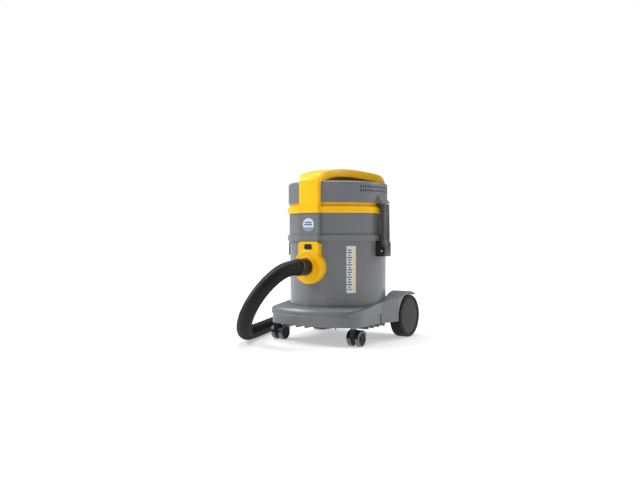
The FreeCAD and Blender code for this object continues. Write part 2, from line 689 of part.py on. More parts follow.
# ------------------------------------------------------------------- casters
def caster_parts(side):
    """Stem, hood, axle and both wheels of one twin-wheel caster."""
    x = side * CASTER_X
    wheel_y = CASTER_Y + CASTER_TRAIL
    hub_z = CASTER_WHEEL_R
    hood_r = CASTER_WHEEL_R + CASTER_HOOD_GAP
    hood_out = hood_r + CASTER_HOOD_T
    stem = disc(CASTER_STEM_R, CASTER_STEM_BOTTOM_Z, CASTER_STEM_TOP_Z, x, CASTER_Y)
    flange = disc(CASTER_FLANGE_R, CASTER_NECK_TOP_Z, CASTER_NECK_TOP_Z + CASTER_FLANGE_T,
                  x, CASTER_Y)
    stem = stem.fuse(flange).removeSplitter()

    left = x - CASTER_HALF_W + 1
    width = 2 * (CASTER_HALF_W - 1)
    shell = tube_along(X_AXIS, hood_out, hood_r, (left, wheel_y, hub_z), width)
    far = 2 * hood_out
    low_front = [(wheel_y, hub_z), (wheel_y - far, hub_z + 6), (wheel_y - far, -far),
                 (wheel_y + far, -far), (wheel_y + far, hub_z + 0.35 * far)]
    shell = shell.cut(side_prism(low_front, left, left + width))
    bridge = tube_along(X_AXIS, hood_out, CASTER_WEB_R - 3,
                        (x - CASTER_WEB_HALF, wheel_y, hub_z), 2 * CASTER_WEB_HALF)
    bridge = bridge.cut(side_prism(low_front, x - CASTER_WEB_HALF, x + CASTER_WEB_HALF))
    web = rod(CASTER_WEB_R, (x - CASTER_WEB_HALF, wheel_y, hub_z), X_AXIS, 2 * CASTER_WEB_HALF)
    neck_z = hub_z + hood_r
    neck = disc(CASTER_NECK_R, hub_z, CASTER_NECK_TOP_Z, x, CASTER_Y)
    slab = box(x - CASTER_WEB_HALF, x + CASTER_WEB_HALF, CASTER_Y - CASTER_NECK_R, wheel_y,
               hub_z, neck_z)
    wheel_space = rod(hood_r, (x - 40, wheel_y, hub_z), X_AXIS, 80)
    keep = box(x - CASTER_WEB_HALF, x + CASTER_WEB_HALF, CASTER_Y - 60, wheel_y + 60, 0, 80)
    neck = neck.cut(wheel_space.cut(keep))
    hood = join([shell, bridge, web, slab, neck])
    hood = hood.cut(disc(CASTER_STEM_R, CASTER_STEM_BOTTOM_Z, CASTER_NECK_TOP_Z + 1, x, CASTER_Y))
    hood = hood.cut(rod(CASTER_AXLE_R, (x - 40, wheel_y, hub_z), X_AXIS, 80))
    axle = rod(CASTER_AXLE_R, (x - CASTER_AXLE_HALF, wheel_y, hub_z), X_AXIS,
               2 * CASTER_AXLE_HALF)
    return stem, hood, axle


def caster_wheel(side, outward):
    """Hub and tread of one caster wheel; outward is +1 or -1 along X."""
    x = side * CASTER_X
    wheel_y = CASTER_Y + CASTER_TRAIL
    hub_r = CASTER_WHEEL_R - CASTER_TREAD_T
    width = CASTER_WHEEL_W
    hub = disc(hub_r, 0, width - 0.8).cut(ring(hub_r - 3, 8, width - 2.3, width))
    bore_end = CASTER_AXLE_HALF - (CASTER_HALF_W - width) + SLIDE_GAP
    hub = hub.cut(disc(CASTER_AXLE_R + RUNNING_GAP, -1, bore_end))
    tread = rounded(ring(CASTER_WHEEL_R, hub_r, 0, width), CASTER_TREAD_EDGE_R,
                    lambda edge: abs(edge.BoundBox.XMax - CASTER_WHEEL_R) < 1e-3
                    and (flat_at(edge, 0) or flat_at(edge, width)))
    placed = []
    for shape in (hub, tread):
        laid = on_x_axis(shape, CASTER_HALF_W - width, wheel_y, CASTER_WHEEL_R)
        if outward < 0:
            laid = mirrored(laid)
        laid.translate(X_AXIS * x)
        placed.append(laid)
    return placed


# ---------------------------------------------------------------------- tank
def tank_shape():
    """Open tank with a rounded floor edge, the inlet port and its screw holes."""
    outer = disc(TANK_R, TANK_FLOOR_Z, TANK_TOP_Z)
    outer = rounded(outer, TANK_EDGE_R, lambda edge: flat_at(edge, TANK_FLOOR_Z))
    inner = disc(TANK_R - TANK_WALL, TANK_FLOOR_Z + TANK_WALL, TANK_TOP_Z + 1)
    inner = rounded(inner, TANK_EDGE_R - TANK_WALL,
                    lambda edge: flat_at(edge, TANK_FLOOR_Z + TANK_WALL))
    shape = outer.cut(inner)
    port = rod(PLUG_R + LOOSE_GAP, (0, -TANK_R - 20, INLET_Z), Y_AXIS, 60)
    cuts = [port]
    for x, z in INLET_SCREW_XZ:
        cuts.append(rod(SCREW_R, (x, -TANK_R - 20, z), Y_AXIS, 60))
    for side in (-1, 1):
        for y in (-BRACKET_SCREW_Y, BRACKET_SCREW_Y):
            cuts.append(rod(SCREW_R, (side * (TANK_R - 20), y, BRACKET_SCREW_Z),
                            X_AXIS * side, 40))
    for x, y in TANK_SCREWS:
        cuts.append(disc(SCREW_R, TANK_FLOOR_Z - 1, TANK_FLOOR_Z + FLOOR_SCREW_BITE, x, y))
    return shape.cut(cuts)


def column(z0, z1, step=0.0):
    """Flat-fronted column that runs up the front of the rings and the head."""
    face = COLUMN_FACE_Y - step
    points = [
        (-COLUMN_HALF, COLUMN_BACK_Y),
        (-COLUMN_HALF, face + COLUMN_CHAMFER_Y),
        (-COLUMN_FACE_HALF, face),
        (COLUMN_FACE_HALF, face),
        (COLUMN_HALF, face + COLUMN_CHAMFER_Y),
        (COLUMN_HALF, COLUMN_BACK_Y),
    ]
    return plan_prism(points, z0, z1)


def filter_ring():
    """Grey ring between the tank and the lid, with its rib and front column."""
    inner = FILTER_RING_R - FILTER_RING_WALL
    seat = TANK_TOP_Z + TANK_SEAL_T
    wall = ring(FILTER_RING_R, inner, seat, FILTER_RING_TOP_Z)
    shoulder = ring(RIB_R, inner, seat, RIB_Z1)
    skirt = ring(RIB_R, TANK_R + LOOSE_GAP, RIB_Z0, seat)
    ledge = ring(inner + 1, inner - LEDGE_W, LEDGE_Z, LEDGE_Z + LEDGE_T)
    # The column starts inside the ring's wall and stays clear of the tank below.
    front = column(seat, LID_BAND_Z0 - REST_GAP).cut(disc(inner + 0.5, seat, LID_BAND_Z0))
    rib_front = column(RIB_Z0, RIB_Z1, COLUMN_STEP)
    rib_front = rib_front.cut(disc(TANK_R + LOOSE_GAP, RIB_Z0, seat))
    rib_front = rib_front.cut(disc(inner + 0.5, seat, RIB_Z1))
    body = join([wall, shoulder, skirt, ledge, front, rib_front])
    lid_space = ring(LID_R + 1, LID_R - LID_LIP - SLIDE_GAP, LID_BAND_Z0 - REST_GAP,
                     FILTER_RING_TOP_Z + 1)
    return body.cut(lid_space)


def filter_parts():
    """Rim and cloth basket that hang inside the filter ring."""
    outer = FILTER_RING_R - FILTER_RING_WALL - LOOSE_GAP
    z0 = LEDGE_Z + LEDGE_T
    rim = ring(outer, outer - FILTER_RIM_W, z0, z0 + FILTER_RIM_T)
    top_r = FILTER_RING_R - FILTER_RING_WALL - LEDGE_W - LOOSE_GAP
    low_r = top_r - CLOTH_TAPER
    cloth = turned([
        (top_r, z0), (low_r, CLOTH_BOTTOM_Z), (0, CLOTH_BOTTOM_Z),
        (0, CLOTH_BOTTOM_Z + CLOTH_T), (low_r - CLOTH_T, CLOTH_BOTTOM_Z + CLOTH_T),
        (top_r - CLOTH_T, z0),
    ])
    return rim, cloth


# --------------------------------------------------------------------- inlet
def button_outline(gap, y0, y1):
    """Cross section of the release button, drawn along Y."""
    hx = BUTTON_HALF_X + gap
    hz = BUTTON_HALF_Z + gap
    cut = BUTTON_CORNER
    points = [
        (-hx + cut, BUTTON_Z - hz), (hx - cut, BUTTON_Z - hz), (hx, BUTTON_Z - hz + cut),
        (hx, BUTTON_Z + hz - cut), (hx - cut, BUTTON_Z + hz), (-hx + cut, BUTTON_Z + hz),
        (-hx, BUTTON_Z + hz - cut), (-hx, BUTTON_Z - hz + cut),
    ]
    return front_prism(points, y0, y1)


def inlet_housing():
    """Yellow inlet: block, round boss, plug bore and button pocket."""
    corner = INLET_TOP_CHAMFER
    points = [
        (-INLET_HALF, INLET_Z), (INLET_HALF, INLET_Z), (INLET_HALF, INLET_TOP_Z - corner),
        (INLET_HALF - corner, INLET_TOP_Z), (corner - INLET_HALF, INLET_TOP_Z),
        (-INLET_HALF, INLET_TOP_Z - corner),
    ]
    back_y = -TANK_R + 18
    block = front_prism(points, INLET_FACE_Y, back_y)
    block = rounded(block, 3.0, lambda edge: edge.BoundBox.YMax < INLET_FACE_Y + 1e-3
                    and edge.BoundBox.ZMax > INLET_Z + 1)
    boss = rod(BOSS_R, (0, BOSS_FACE_Y, INLET_Z), Y_AXIS, back_y - BOSS_FACE_Y)
    boss = rounded(boss, BOSS_EDGE_R, lambda edge: edge.BoundBox.YMax < BOSS_FACE_Y + 1e-3)
    collar = rod(COLLAR_R, (0, BOSS_FACE_Y - COLLAR_T, INLET_Z), Y_AXIS, COLLAR_T + 2)
    collar = rounded(collar, COLLAR_EDGE_R,
                     lambda edge: edge.BoundBox.YMax < BOSS_FACE_Y - COLLAR_T + 1e-3)
    body = join([block, boss, collar])
    bore_y = BOSS_FACE_Y - COLLAR_T - 1
    cuts = [disc(TANK_R, 0, TANK_TOP_Z)]
    cuts.append(rod(PLUG_R + SLIDE_GAP, (0, bore_y, INLET_Z), Y_AXIS, 60))
    cuts.append(rod(PLUG_R + INLET_SEAL_W, (0, INLET_SEAL_Y, INLET_Z), Y_AXIS, INLET_SEAL_T))
    cuts.append(button_outline(SLIDE_GAP, INLET_FACE_Y - 1, POCKET_BACK_Y))
    for x, z in INLET_SCREW_XZ:
        cuts.append(rod(SCREW_R, (x, -TANK_R - 6, z), Y_AXIS, 20))
    return body.cut(cuts)


def button_shape():
    """Release button with a blind recess for its spring."""
    body = button_outline(0, INLET_FACE_Y - BUTTON_PROUD, BUTTON_BACK_Y)
    body = rounded(body, 1.2, lambda edge: edge.BoundBox.YMax
                   < INLET_FACE_Y - BUTTON_PROUD + 1e-3)
    recess = rod(SPRING_R + 1.0, (0, BUTTON_BACK_Y - BUTTON_T / 2, BUTTON_Z), Y_AXIS, BUTTON_T)
    return body.cut(recess)


def button_spring():
    """Closed sleeve of the spring's outer size, from the recess to the pocket's back."""
    start_y = BUTTON_BACK_Y - BUTTON_T / 2 + SLIDE_GAP
    length = POCKET_BACK_Y - start_y
    return tube_along(Y_AXIS, SPRING_R, SPRING_R - 2 * SPRING_WIRE_R,
                      (0, start_y, BUTTON_Z), length)


def deflector():
    """Hood inside the tank that turns the incoming air downwards."""
    start = -TANK_R + TANK_WALL
    length = DEFLECTOR_END_Y - start
    inner_r = DEFLECTOR_R - DEFLECTOR_WALL
    shape = rod(DEFLECTOR_R, (0, start - 8, INLET_Z), Y_AXIS, length + 8)
    shape = shape.cut(rod(inner_r, (0, start - 9, INLET_Z), Y_AXIS,
                          length + 9 - DEFLECTOR_WALL))
    mouth = box(-inner_r, inner_r, start + 22, DEFLECTOR_END_Y - DEFLECTOR_WALL,
                INLET_Z - DEFLECTOR_R - 1, INLET_Z - 8)
    shape = shape.cut(mouth)
    return shape.common(disc(TANK_R - TANK_WALL, TANK_FLOOR_Z, TANK_TOP_Z))


def inlet_seal():
    """Lip ring around the plug."""
    return tube_along(Y_AXIS, PLUG_R + INLET_SEAL_W, PLUG_R,
                      (0, INLET_SEAL_Y, INLET_Z), INLET_SEAL_T)


# ---------------------------------------------------------------------- hose
def hose_connector():
    """Rigid plug and ribbed sleeve at the start of the hose."""
    collar_y = BOSS_FACE_Y - COLLAR_T - SLIDE_GAP
    plug_end = -TANK_R + 12
    plug = rod(PLUG_R, (0, collar_y, INLET_Z), Y_AXIS, plug_end - collar_y)
    sleeve = rod(CONNECTOR_R, (0, CONNECTOR_END_Y, INLET_Z), Y_AXIS, collar_y - CONNECTOR_END_Y)
    sleeve = rounded(sleeve, 2.0, lambda edge: edge.BoundBox.YMax < CONNECTOR_END_Y + 1e-3)
    body = join([plug, sleeve])
    pitch = (collar_y - CONNECTOR_END_Y) / (CONNECTOR_RIBS + 2)
    for step in range(1, CONNECTOR_RIBS + 1):
        groove_y = CONNECTOR_END_Y + pitch * step + pitch * 0.5
        body = body.cut(tube_along(Y_AXIS, CONNECTOR_R + 1, CONNECTOR_R - 1.2,
                                   (0, groove_y, INLET_Z), pitch * 0.4))
    return body.cut(rod(CONNECTOR_BORE_R, (0, CONNECTOR_END_Y - 1, INLET_Z), Y_AXIS,
                        plug_end - CONNECTOR_END_Y + 2))


def hose_path(points):
    """Straight runs joined by tangent arcs; also prints each arc's radius."""
    nodes = [FreeCAD.Vector(*point) for point in points]
    edges = []
    radii = []
    start = nodes[0]
    for before, corner, after in zip(nodes, nodes[1:], nodes[2:]):
        into = corner - before
        out = after - corner
        shorter = min(into.Length, out.Length)
        half_turn = into.getAngle(out) / 2
        setback = 0.45 * shorter
        radius = setback / math.tan(half_turn)
        into_dir = into / into.Length
        out_dir = out / out.Length
        first = corner - into_dir * setback
        last = corner + out_dir * setback
        inward = (out_dir - into_dir)
        inward = inward / inward.Length
        centre = corner + inward * (radius / math.cos(half_turn))
        middle = centre - inward * radius
        edges.append(Part.LineSegment(start, first).toShape())
        edges.append(Part.Arc(first, middle, last).toShape())
        radii.append(radius)
        start = last
    edges.append(Part.LineSegment(start, nodes[-1]).toShape())
    runs = [(b - a).Length for a, b in zip(nodes, nodes[1:])]
    print("hose runs", " ".join("%.0f" % run for run in runs))
    print("hose radii", " ".join("%.0f" % radius for radius in radii))
    return Part.Wire(edges)


def swept(path, radius):
    """Round section carried along the hose path."""
    start = path.Edges[0].valueAt(path.Edges[0].FirstParameter)
    along = path.Edges[0].tangentAt(path.Edges[0].FirstParameter)
    circle = Part.Wire(Part.makeCircle(radius, start, along))
    return path.makePipeShell([circle], True, False)


def hose_tube():
    """Hollow hose along its route, with a printed check of its volume."""
    path = hose_path(HOSE_ROUTE)
    tube = swept(path, HOSE_R).cut(swept(path, HOSE_BORE_R))
    expected = math.pi * (HOSE_R ** 2 - HOSE_BORE_R ** 2) * path.Length
    print("hose length %.0f volume ratio %.4f" % (path.Length, tube.Volume / expected))
    return tube


def hose_cuff():
    """Rubber end cuff on the free end, with a bore for a wand."""
    last = FreeCAD.Vector(*HOSE_ROUTE[-1])
    along = last - FreeCAD.Vector(*HOSE_ROUTE[-2])
    along = along / along.Length
    body = Part.makeCylinder(CUFF_R - SLIDE_GAP, CUFF_LENGTH, last, along)
    body = body.cut(Part.makeCylinder(CUFF_BORE_R - 2, CUFF_LENGTH, last, along))
    mouth = last + along * (CUFF_LENGTH - CUFF_BORE_LENGTH)
    body = body.cut(Part.makeCylinder(CUFF_BORE_R, CUFF_BORE_LENGTH + 1, mouth, along))
    for step in range(CUFF_GROOVES):
        groove = last + along * (CUFF_GROOVE_START + CUFF_GROOVE_PITCH * step)
        outer = Part.makeCylinder(CUFF_R + 1, CUFF_GROOVE_W, groove, along)
        inner = Part.makeCylinder(CUFF_R - CUFF_GROOVE_DEPTH, CUFF_GROOVE_W, groove, along)
        body = body.cut(outer.cut(inner))
    lift = HOSE_ROUTE[-1][2] - CUFF_R
    print("cuff clears the floor by %.1f, mouth at %s, axis %s" % (lift, mouth, along))
    return body


# ------------------------------------------------------------------- latches
def latch_lever():
    """Right latch lever: foot, arm and the sloped hook that clamps the lid."""
    seat_z = LID_BAND_Z1
    gap = REST_GAP * math.sqrt(2)
    hook_tip_z = seat_z + gap
    outline = [
        (LATCH_X0, LATCH_BOTTOM_Z), (LATCH_FOOT_X - 3, LATCH_BOTTOM_Z),
        (LATCH_FOOT_X, LATCH_BOTTOM_Z + 3), (LATCH_FOOT_X, LATCH_FOOT_Z),
        (LATCH_X1, LATCH_FOOT_Z + 8), (LATCH_X1 - 2, LATCH_TOP_Z - 4),
        (LATCH_X1 - 5, LATCH_TOP_Z), (HOOK_REACH_X, LATCH_TOP_Z),
        (HOOK_REACH_X, hook_tip_z), (LID_R, hook_tip_z - HOOK_SLOPE),
        (LATCH_X0, hook_tip_z - HOOK_SLOPE - 8),
    ]
    lever = front_prism(outline, -LATCH_HALF_Y, LATCH_HALF_Y)
    lever = rounded(lever, 2.5, lambda edge: len(edge.Vertexes) == 2
                    and abs(edge.Vertexes[0].X - LATCH_X1 + 2) < 2.5
                    and abs(edge.Vertexes[1].X - LATCH_X1 + 2) < 2.5
                    and edge.BoundBox.YLength < 1e-6)
    inner = box(LATCH_X0 - 1, LATCH_X1 - 5, -LATCH_HALF_Y + 4, LATCH_HALF_Y - 4,
                LATCH_FOOT_Z, LATCH_TOP_Z - 26)
    bore = rod(PIN_R + RUNNING_GAP, (LATCH_PIVOT_X, -LATCH_HALF_Y - 1, LATCH_PIVOT_Z),
               Y_AXIS, 2 * LATCH_HALF_Y + 2)
    swing = rod(LATCH_PIVOT_X - LATCH_X0, (LATCH_PIVOT_X, -LATCH_HALF_Y - 1, LATCH_PIVOT_Z),
                Y_AXIS, 2 * LATCH_HALF_Y + 2)
    foot_back = box(LATCH_X0 - 1, LATCH_PIVOT_X, -LATCH_HALF_Y - 1, LATCH_HALF_Y + 1,
                    LATCH_BOTTOM_Z - 1, LATCH_PIVOT_Z)
    return lever.cut(inner).cut(bore).cut(foot_back.cut(swing))


def latch_bracket():
    """Right bracket on the tank: curved plate and two ears for the pivot pin."""
    inner_y = LATCH_HALF_Y + SLIDE_GAP
    outer_y = inner_y + BRACKET_EAR_T
    plate = box(BRACKET_BACK_X - 20, BRACKET_PLATE_X, -outer_y, outer_y,
                LATCH_BOTTOM_Z, BRACKET_TOP_Z)
    ear_outline = [
        (BRACKET_BACK_X - 20, LATCH_BOTTOM_Z), (LATCH_X1 - 2, LATCH_BOTTOM_Z),
        (LATCH_X1 + 1, LATCH_BOTTOM_Z + 5), (LATCH_X1 + 1, LATCH_PIVOT_Z + 8),
        (BRACKET_PLATE_X, BRACKET_TOP_Z), (BRACKET_BACK_X - 20, BRACKET_TOP_Z),
    ]
    ears = [front_prism(ear_outline, y0, y0 + BRACKET_EAR_T) for y0 in (-outer_y, inner_y)]
    body = join([plate] + ears).cut(disc(TANK_R, 0, TANK_TOP_Z))
    cuts = [rod(PIN_R, (LATCH_PIVOT_X, -outer_y - 1, LATCH_PIVOT_Z), Y_AXIS, 2 * outer_y + 2)]
    for y in (-BRACKET_SCREW_Y, BRACKET_SCREW_Y):
        cuts.append(rod(SCREW_R, (TANK_R - 20, y, BRACKET_SCREW_Z), X_AXIS, 40))
    return body.cut(cuts)


def latch_pin():
    """Right pivot pin, pressed into the bracket's ears."""
    reach = LATCH_HALF_Y + SLIDE_GAP + BRACKET_EAR_T
    return rod(PIN_R, (LATCH_PIVOT_X, -reach, LATCH_PIVOT_Z), Y_AXIS, 2 * reach)


def bracket_screws():
    """Two screws that hold the right bracket on the tank."""
    return [screw(BRACKET_PLATE_X, y, BRACKET_SCREW_Z, -X_AXIS, BRACKET_PLATE_X - TANK_R + 8)
            for y in (-BRACKET_SCREW_Y, BRACKET_SCREW_Y)]


def tank_screws():
    """Screws of the tank: four in its floor, four for the inlet, four for the brackets."""
    screws = [screw(x, y, TANK_FLOOR_Z - CUP_FLOOR_T, Z_AXIS, CUP_FLOOR_T + FLOOR_SCREW_BITE)
              for x, y in TANK_SCREWS]
    wall_in = TANK_R - TANK_WALL
    for x, z in INLET_SCREW_XZ:
        seat_y = -math.sqrt(wall_in ** 2 - (abs(x) + SCREW_HEAD_R) ** 2)
        screws.append(screw(x, seat_y, z, -Y_AXIS, seat_y - INLET_SCREW_BITE_Y))
    right = bracket_screws()
    return screws + right + [mirrored(item) for item in right]


# ---------------------------------------------------------------------- head
def lid_ring():
    """Yellow lid: clamped band, neck, deck, motor well and front column."""
    ceiling = FILTER_RING_TOP_Z + REST_GAP + LID_SEAL_T
    neck_in = LID_NECK_R - LID_WALL
    profile = [
        (LID_R - LID_LIP, LID_BAND_Z0), (LID_R - 1.5, LID_BAND_Z0), (LID_R, LID_BAND_Z0 + 1.5),
        (LID_R, LID_BAND_Z1 - 1.5), (LID_R - 1.5, LID_BAND_Z1), (LID_NECK_R, LID_BAND_Z1),
        (LID_NECK_R, LID_TOP_Z), (neck_in, LID_TOP_Z), (neck_in, LID_BAND_Z1),
        (WELL_R, LID_BAND_Z1), (WELL_R, WELL_FLOOR_Z + WELL_FLOOR_T),
        (INTAKE_R, WELL_FLOOR_Z + WELL_FLOOR_T), (INTAKE_R, WELL_FLOOR_Z),
        (WELL_R + WELL_WALL, WELL_FLOOR_Z), (WELL_R + WELL_WALL, LID_BAND_Z1 - DECK_T),
        (neck_in - 4, LID_BAND_Z1 - DECK_T), (neck_in - 4, FILTER_RING_TOP_Z - 8),
        (neck_in, FILTER_RING_TOP_Z - 8), (neck_in, ceiling), (LID_R - LID_LIP, ceiling),
    ]
    body = turned(profile)
    low = column(LID_BAND_Z0, LID_BAND_Z1, COLUMN_STEP + 1).cut(disc(LID_R - 2, 0, LID_TOP_Z))
    high = column(LID_BAND_Z1, LID_TOP_Z).cut(disc(LID_NECK_R - 1, 0, LID_TOP_Z + 1))
    body = join([body, low, high])
    cuts = []
    for side in (-1, 1):
        slope = [
            (LID_R - HOOK_SLOPE, LID_BAND_Z1), (LID_R, LID_BAND_Z1 - HOOK_SLOPE),
            (LID_R + 1, LID_BAND_Z1 - HOOK_SLOPE), (LID_R + 1, LID_BAND_Z1 + 1),
            (LID_R - HOOK_SLOPE, LID_BAND_Z1 + 1),
        ]
        wedge = front_prism(slope, -EAR_HALF_Y, EAR_HALF_Y)
        cuts.append(wedge if side > 0 else mirrored(wedge))
    for x, y in COVER_SCREWS + CLAMP_SCREWS:
        cuts.append(disc(SCREW_R, LID_BAND_Z1 - DECK_T - 1, LID_TOP_Z + 1, x, y))
    return body.cut(cuts)


def lid_seal():
    """Seal in the lid's groove, just above the filter ring's rim."""
    z0 = FILTER_RING_TOP_Z + REST_GAP
    middle = FILTER_RING_R - FILTER_RING_WALL / 2
    return ring(middle + LID_SEAL_W / 2 - 1, middle - LID_SEAL_W / 2 - 1, z0, z0 + LID_SEAL_T)


def rounded_plan(x0, x1, y0, y1, z0, z1, corner):
    """Block with upright corners rounded."""
    block = box(x0, x1, y0, y1, z0, z1)
    return rounded(block, corner, lambda edge: abs(edge.BoundBox.ZLength - (z1 - z0)) < 1e-3)


def vent_slots():
    """Two rows of slots round both sides of the cover."""
    pitch_deg = math.degrees(VENT_PITCH / COVER_R)
    count = int((VENT_END_DEG - VENT_START_DEG) / pitch_deg)
    slots = []
    for z in VENT_ROWS_Z:
        slot = box(-VENT_W / 2, VENT_W / 2, -COVER_R - 2, -COVER_R + COVER_WALL + 2,
                   z - VENT_H / 2, z + VENT_H / 2)
        for step in range(count + 1):
            angle = VENT_START_DEG + step * pitch_deg
            slots.append(spun(slot, angle))
            slots.append(spun(slot, -angle))
    return slots


def head_cover():
    """Grey cover: rounded drum, vents, hand scoop, latch ears, handle notch."""
    outer = disc(COVER_R, LID_TOP_Z, COVER_TOP_Z)
    outer = rounded(outer, COVER_EDGE_R, lambda edge: flat_at(edge, COVER_TOP_Z))
    ear_outline = [(COVER_R - 6, EAR_BOTTOM_Z), (EAR_X, EAR_BOTTOM_Z),
                   (EAR_X, EAR_BOTTOM_Z + 4), (COVER_R - 1, EAR_TOP_Z), (COVER_R - 6, EAR_TOP_Z)]
    ear = front_prism(ear_outline, -EAR_HALF_Y, EAR_HALF_Y)
    ear = rounded(ear, 5.0, lambda edge: len(edge.Vertexes) == 2
                  and min(v.X for v in edge.Vertexes) > COVER_R - 2
                  and edge.BoundBox.YLength < 1e-6 and edge.BoundBox.ZLength > 10)
    outer = join([outer, ear, mirrored(ear)])
    inner = disc(COVER_R - COVER_WALL, LID_TOP_Z - 1, COVER_TOP_Z - COVER_WALL)
    inner = rounded(inner, COVER_EDGE_R - COVER_WALL,
                    lambda edge: flat_at(edge, COVER_TOP_Z - COVER_WALL))
    scoop_z = COVER_TOP_Z - SCOOP_DEPTH
    tray = rounded_plan(-SCOOP_HALF_X - COVER_WALL, SCOOP_HALF_X + COVER_WALL,
                        SCOOP_Y0 - COVER_WALL, SCOOP_Y1 + COVER_WALL,
                        scoop_z - COVER_WALL, COVER_TOP_Z, SCOOP_CORNER_R + COVER_WALL)
    scoop = rounded_plan(-SCOOP_HALF_X, SCOOP_HALF_X, SCOOP_Y0, SCOOP_Y1,
                         scoop_z, COVER_TOP_Z + 1, SCOOP_CORNER_R)
    inner = inner.cut(tray)
    foot = ring(COVER_R - 1, COVER_R - COVER_FOOT_W, LID_TOP_Z, LID_TOP_Z + COVER_FOOT_T)
    body = join([outer.cut(inner).cut(scoop), foot])
    notch = box(-COLUMN_HALF - SLIDE_GAP, COLUMN_HALF + SLIDE_GAP, -COVER_R - 10,
                COLUMN_BACK_Y + SLIDE_GAP, EAR_BOTTOM_Z, COVER_TOP_Z + 1)
    under_ear = disc(COVER_R, EAR_BOTTOM_Z - 5, LID_TOP_Z)
    gland_hole = rod(GLAND_R, (0, COVER_R - 20, GLAND_Z), Y_AXIS, 40)
    cuts = [notch, under_ear, gland_hole] + vent_slots()
    for x, y in COVER_SCREWS:
        cuts.append(disc(SCREW_R, LID_TOP_Z - 1, LID_TOP_Z + COVER_FOOT_T + 1, x, y))
    x, y = HANDLE_SCREW_REAR
    for side in (-1, 1):
        cuts.append(disc(SCREW_R, COVER_TOP_Z - 20, COVER_TOP_Z + 1, side * x, y))
    return body.cut(cuts)


def rear_shoulder(inset):
    """Round form that bends the handle's rear rim down to the cover."""
    shoulder = HANDLE_SHOULDER_R - inset
    top_z = COVER_TOP_Z + HANDLE_RIM_H + shoulder
    rim = disc(HANDLE_REAR_R - inset, LID_TOP_Z, top_z)
    rim = rounded(rim, shoulder, lambda edge: flat_at(edge, top_z))
    crown = disc(HANDLE_REAR_R - HANDLE_SHOULDER_R, LID_TOP_Z, HANDLE_CROWN_Z)
    wide = HANDLE_BLANK_HALF
    front = box(-wide, wide, 2 * COLUMN_FACE_Y, 0, LID_TOP_Z, HANDLE_CROWN_Z)
    return join([rim, crown, front])


def handle_block(inset):
    """Handle's outer form, or its inside when inset by the wall."""
    top_r = HANDLE_ARC_R - inset
    centre_z = HANDLE_CROWN_Z - HANDLE_ARC_R
    front_y = COLUMN_FACE_Y + inset
    under_r = HANDLE_ARC_R - HANDLE_T + inset
    bottom_z = LID_TOP_Z
    column_back = COLUMN_BACK_Y - inset
    rear_z = COVER_TOP_Z
    wide = HANDLE_BLANK_HALF
    drum = rod(top_r, (-wide, HANDLE_CROWN_Y, centre_z), X_AXIS, 2 * wide)
    upper = drum.common(box(-wide, wide, front_y, HANDLE_REAR_R + 5, bottom_z, HANDLE_CROWN_Z))
    nose = [edge for edge in upper.Edges
            if edge.BoundBox.YMax < front_y + 1e-3 and edge.BoundBox.ZMin > rear_z - 5
            and edge.BoundBox.XLength > 100]
    upper = upper.makeFillet(HANDLE_FRONT_R - inset, nose)
    below_deck = box(-wide, wide, column_back, HANDLE_REAR_R + 6, bottom_z - 1, rear_z)
    gap_drum = rod(under_r, (-wide, HANDLE_CROWN_Y, centre_z), X_AXIS, 2 * wide)
    gap = gap_drum.common(box(-wide, wide, HAND_GAP_Y0 - inset, HAND_GAP_Y1 + inset,
                              rear_z - 1, HANDLE_CROWN_Z))
    upper = upper.cut(below_deck).cut(gap)
    half = COLUMN_HALF - inset
    face_half = COLUMN_FACE_HALF - inset * 0.6
    mid = HANDLE_MID_HALF - inset
    rear_half = HANDLE_REAR_HALF - inset
    rear_r = HANDLE_REAR_R - inset
    rear_y = math.sqrt(rear_r ** 2 - rear_half ** 2)

    def at(x, y):
        return FreeCAD.Vector(x, y, bottom_z)

    chamfer_y = front_y + COLUMN_CHAMFER_Y
    waist_y = HAND_GAP_Y0
    edges = [
        Part.LineSegment(at(-face_half, front_y), at(face_half, front_y)).toShape(),
        Part.LineSegment(at(face_half, front_y), at(half, chamfer_y)).toShape(),
        Part.LineSegment(at(half, chamfer_y), at(half, waist_y)).toShape(),
        Part.Arc(at(half, waist_y), at(mid, 0), at(rear_half, rear_y)).toShape(),
        Part.Arc(at(rear_half, rear_y), at(0, rear_r), at(-rear_half, rear_y)).toShape(),
        Part.Arc(at(-rear_half, rear_y), at(-mid, 0), at(-half, waist_y)).toShape(),
        Part.LineSegment(at(-half, waist_y), at(-half, chamfer_y)).toShape(),
        Part.LineSegment(at(-half, chamfer_y), at(-face_half, front_y)).toShape(),
    ]
    plan = Part.Face(Part.Wire(edges)).extrude(Z_AXIS * (HANDLE_CROWN_Z - bottom_z + 5))
    return upper.common(plan).common(rear_shoulder(inset))


def tilt_on_handle(shape, y):
    """Turn a shape made about the Z axis so that it sits square on the handle's top."""
    offset = y - HANDLE_CROWN_Y
    top_z = HANDLE_CROWN_Z - HANDLE_ARC_R + math.sqrt(HANDLE_ARC_R ** 2 - offset ** 2)
    copy = shape.copy()
    copy.rotate(CENTRE, X_AXIS, -math.degrees(math.asin(offset / HANDLE_ARC_R)))
    copy.translate(FreeCAD.Vector(0, y, top_z))
    return copy


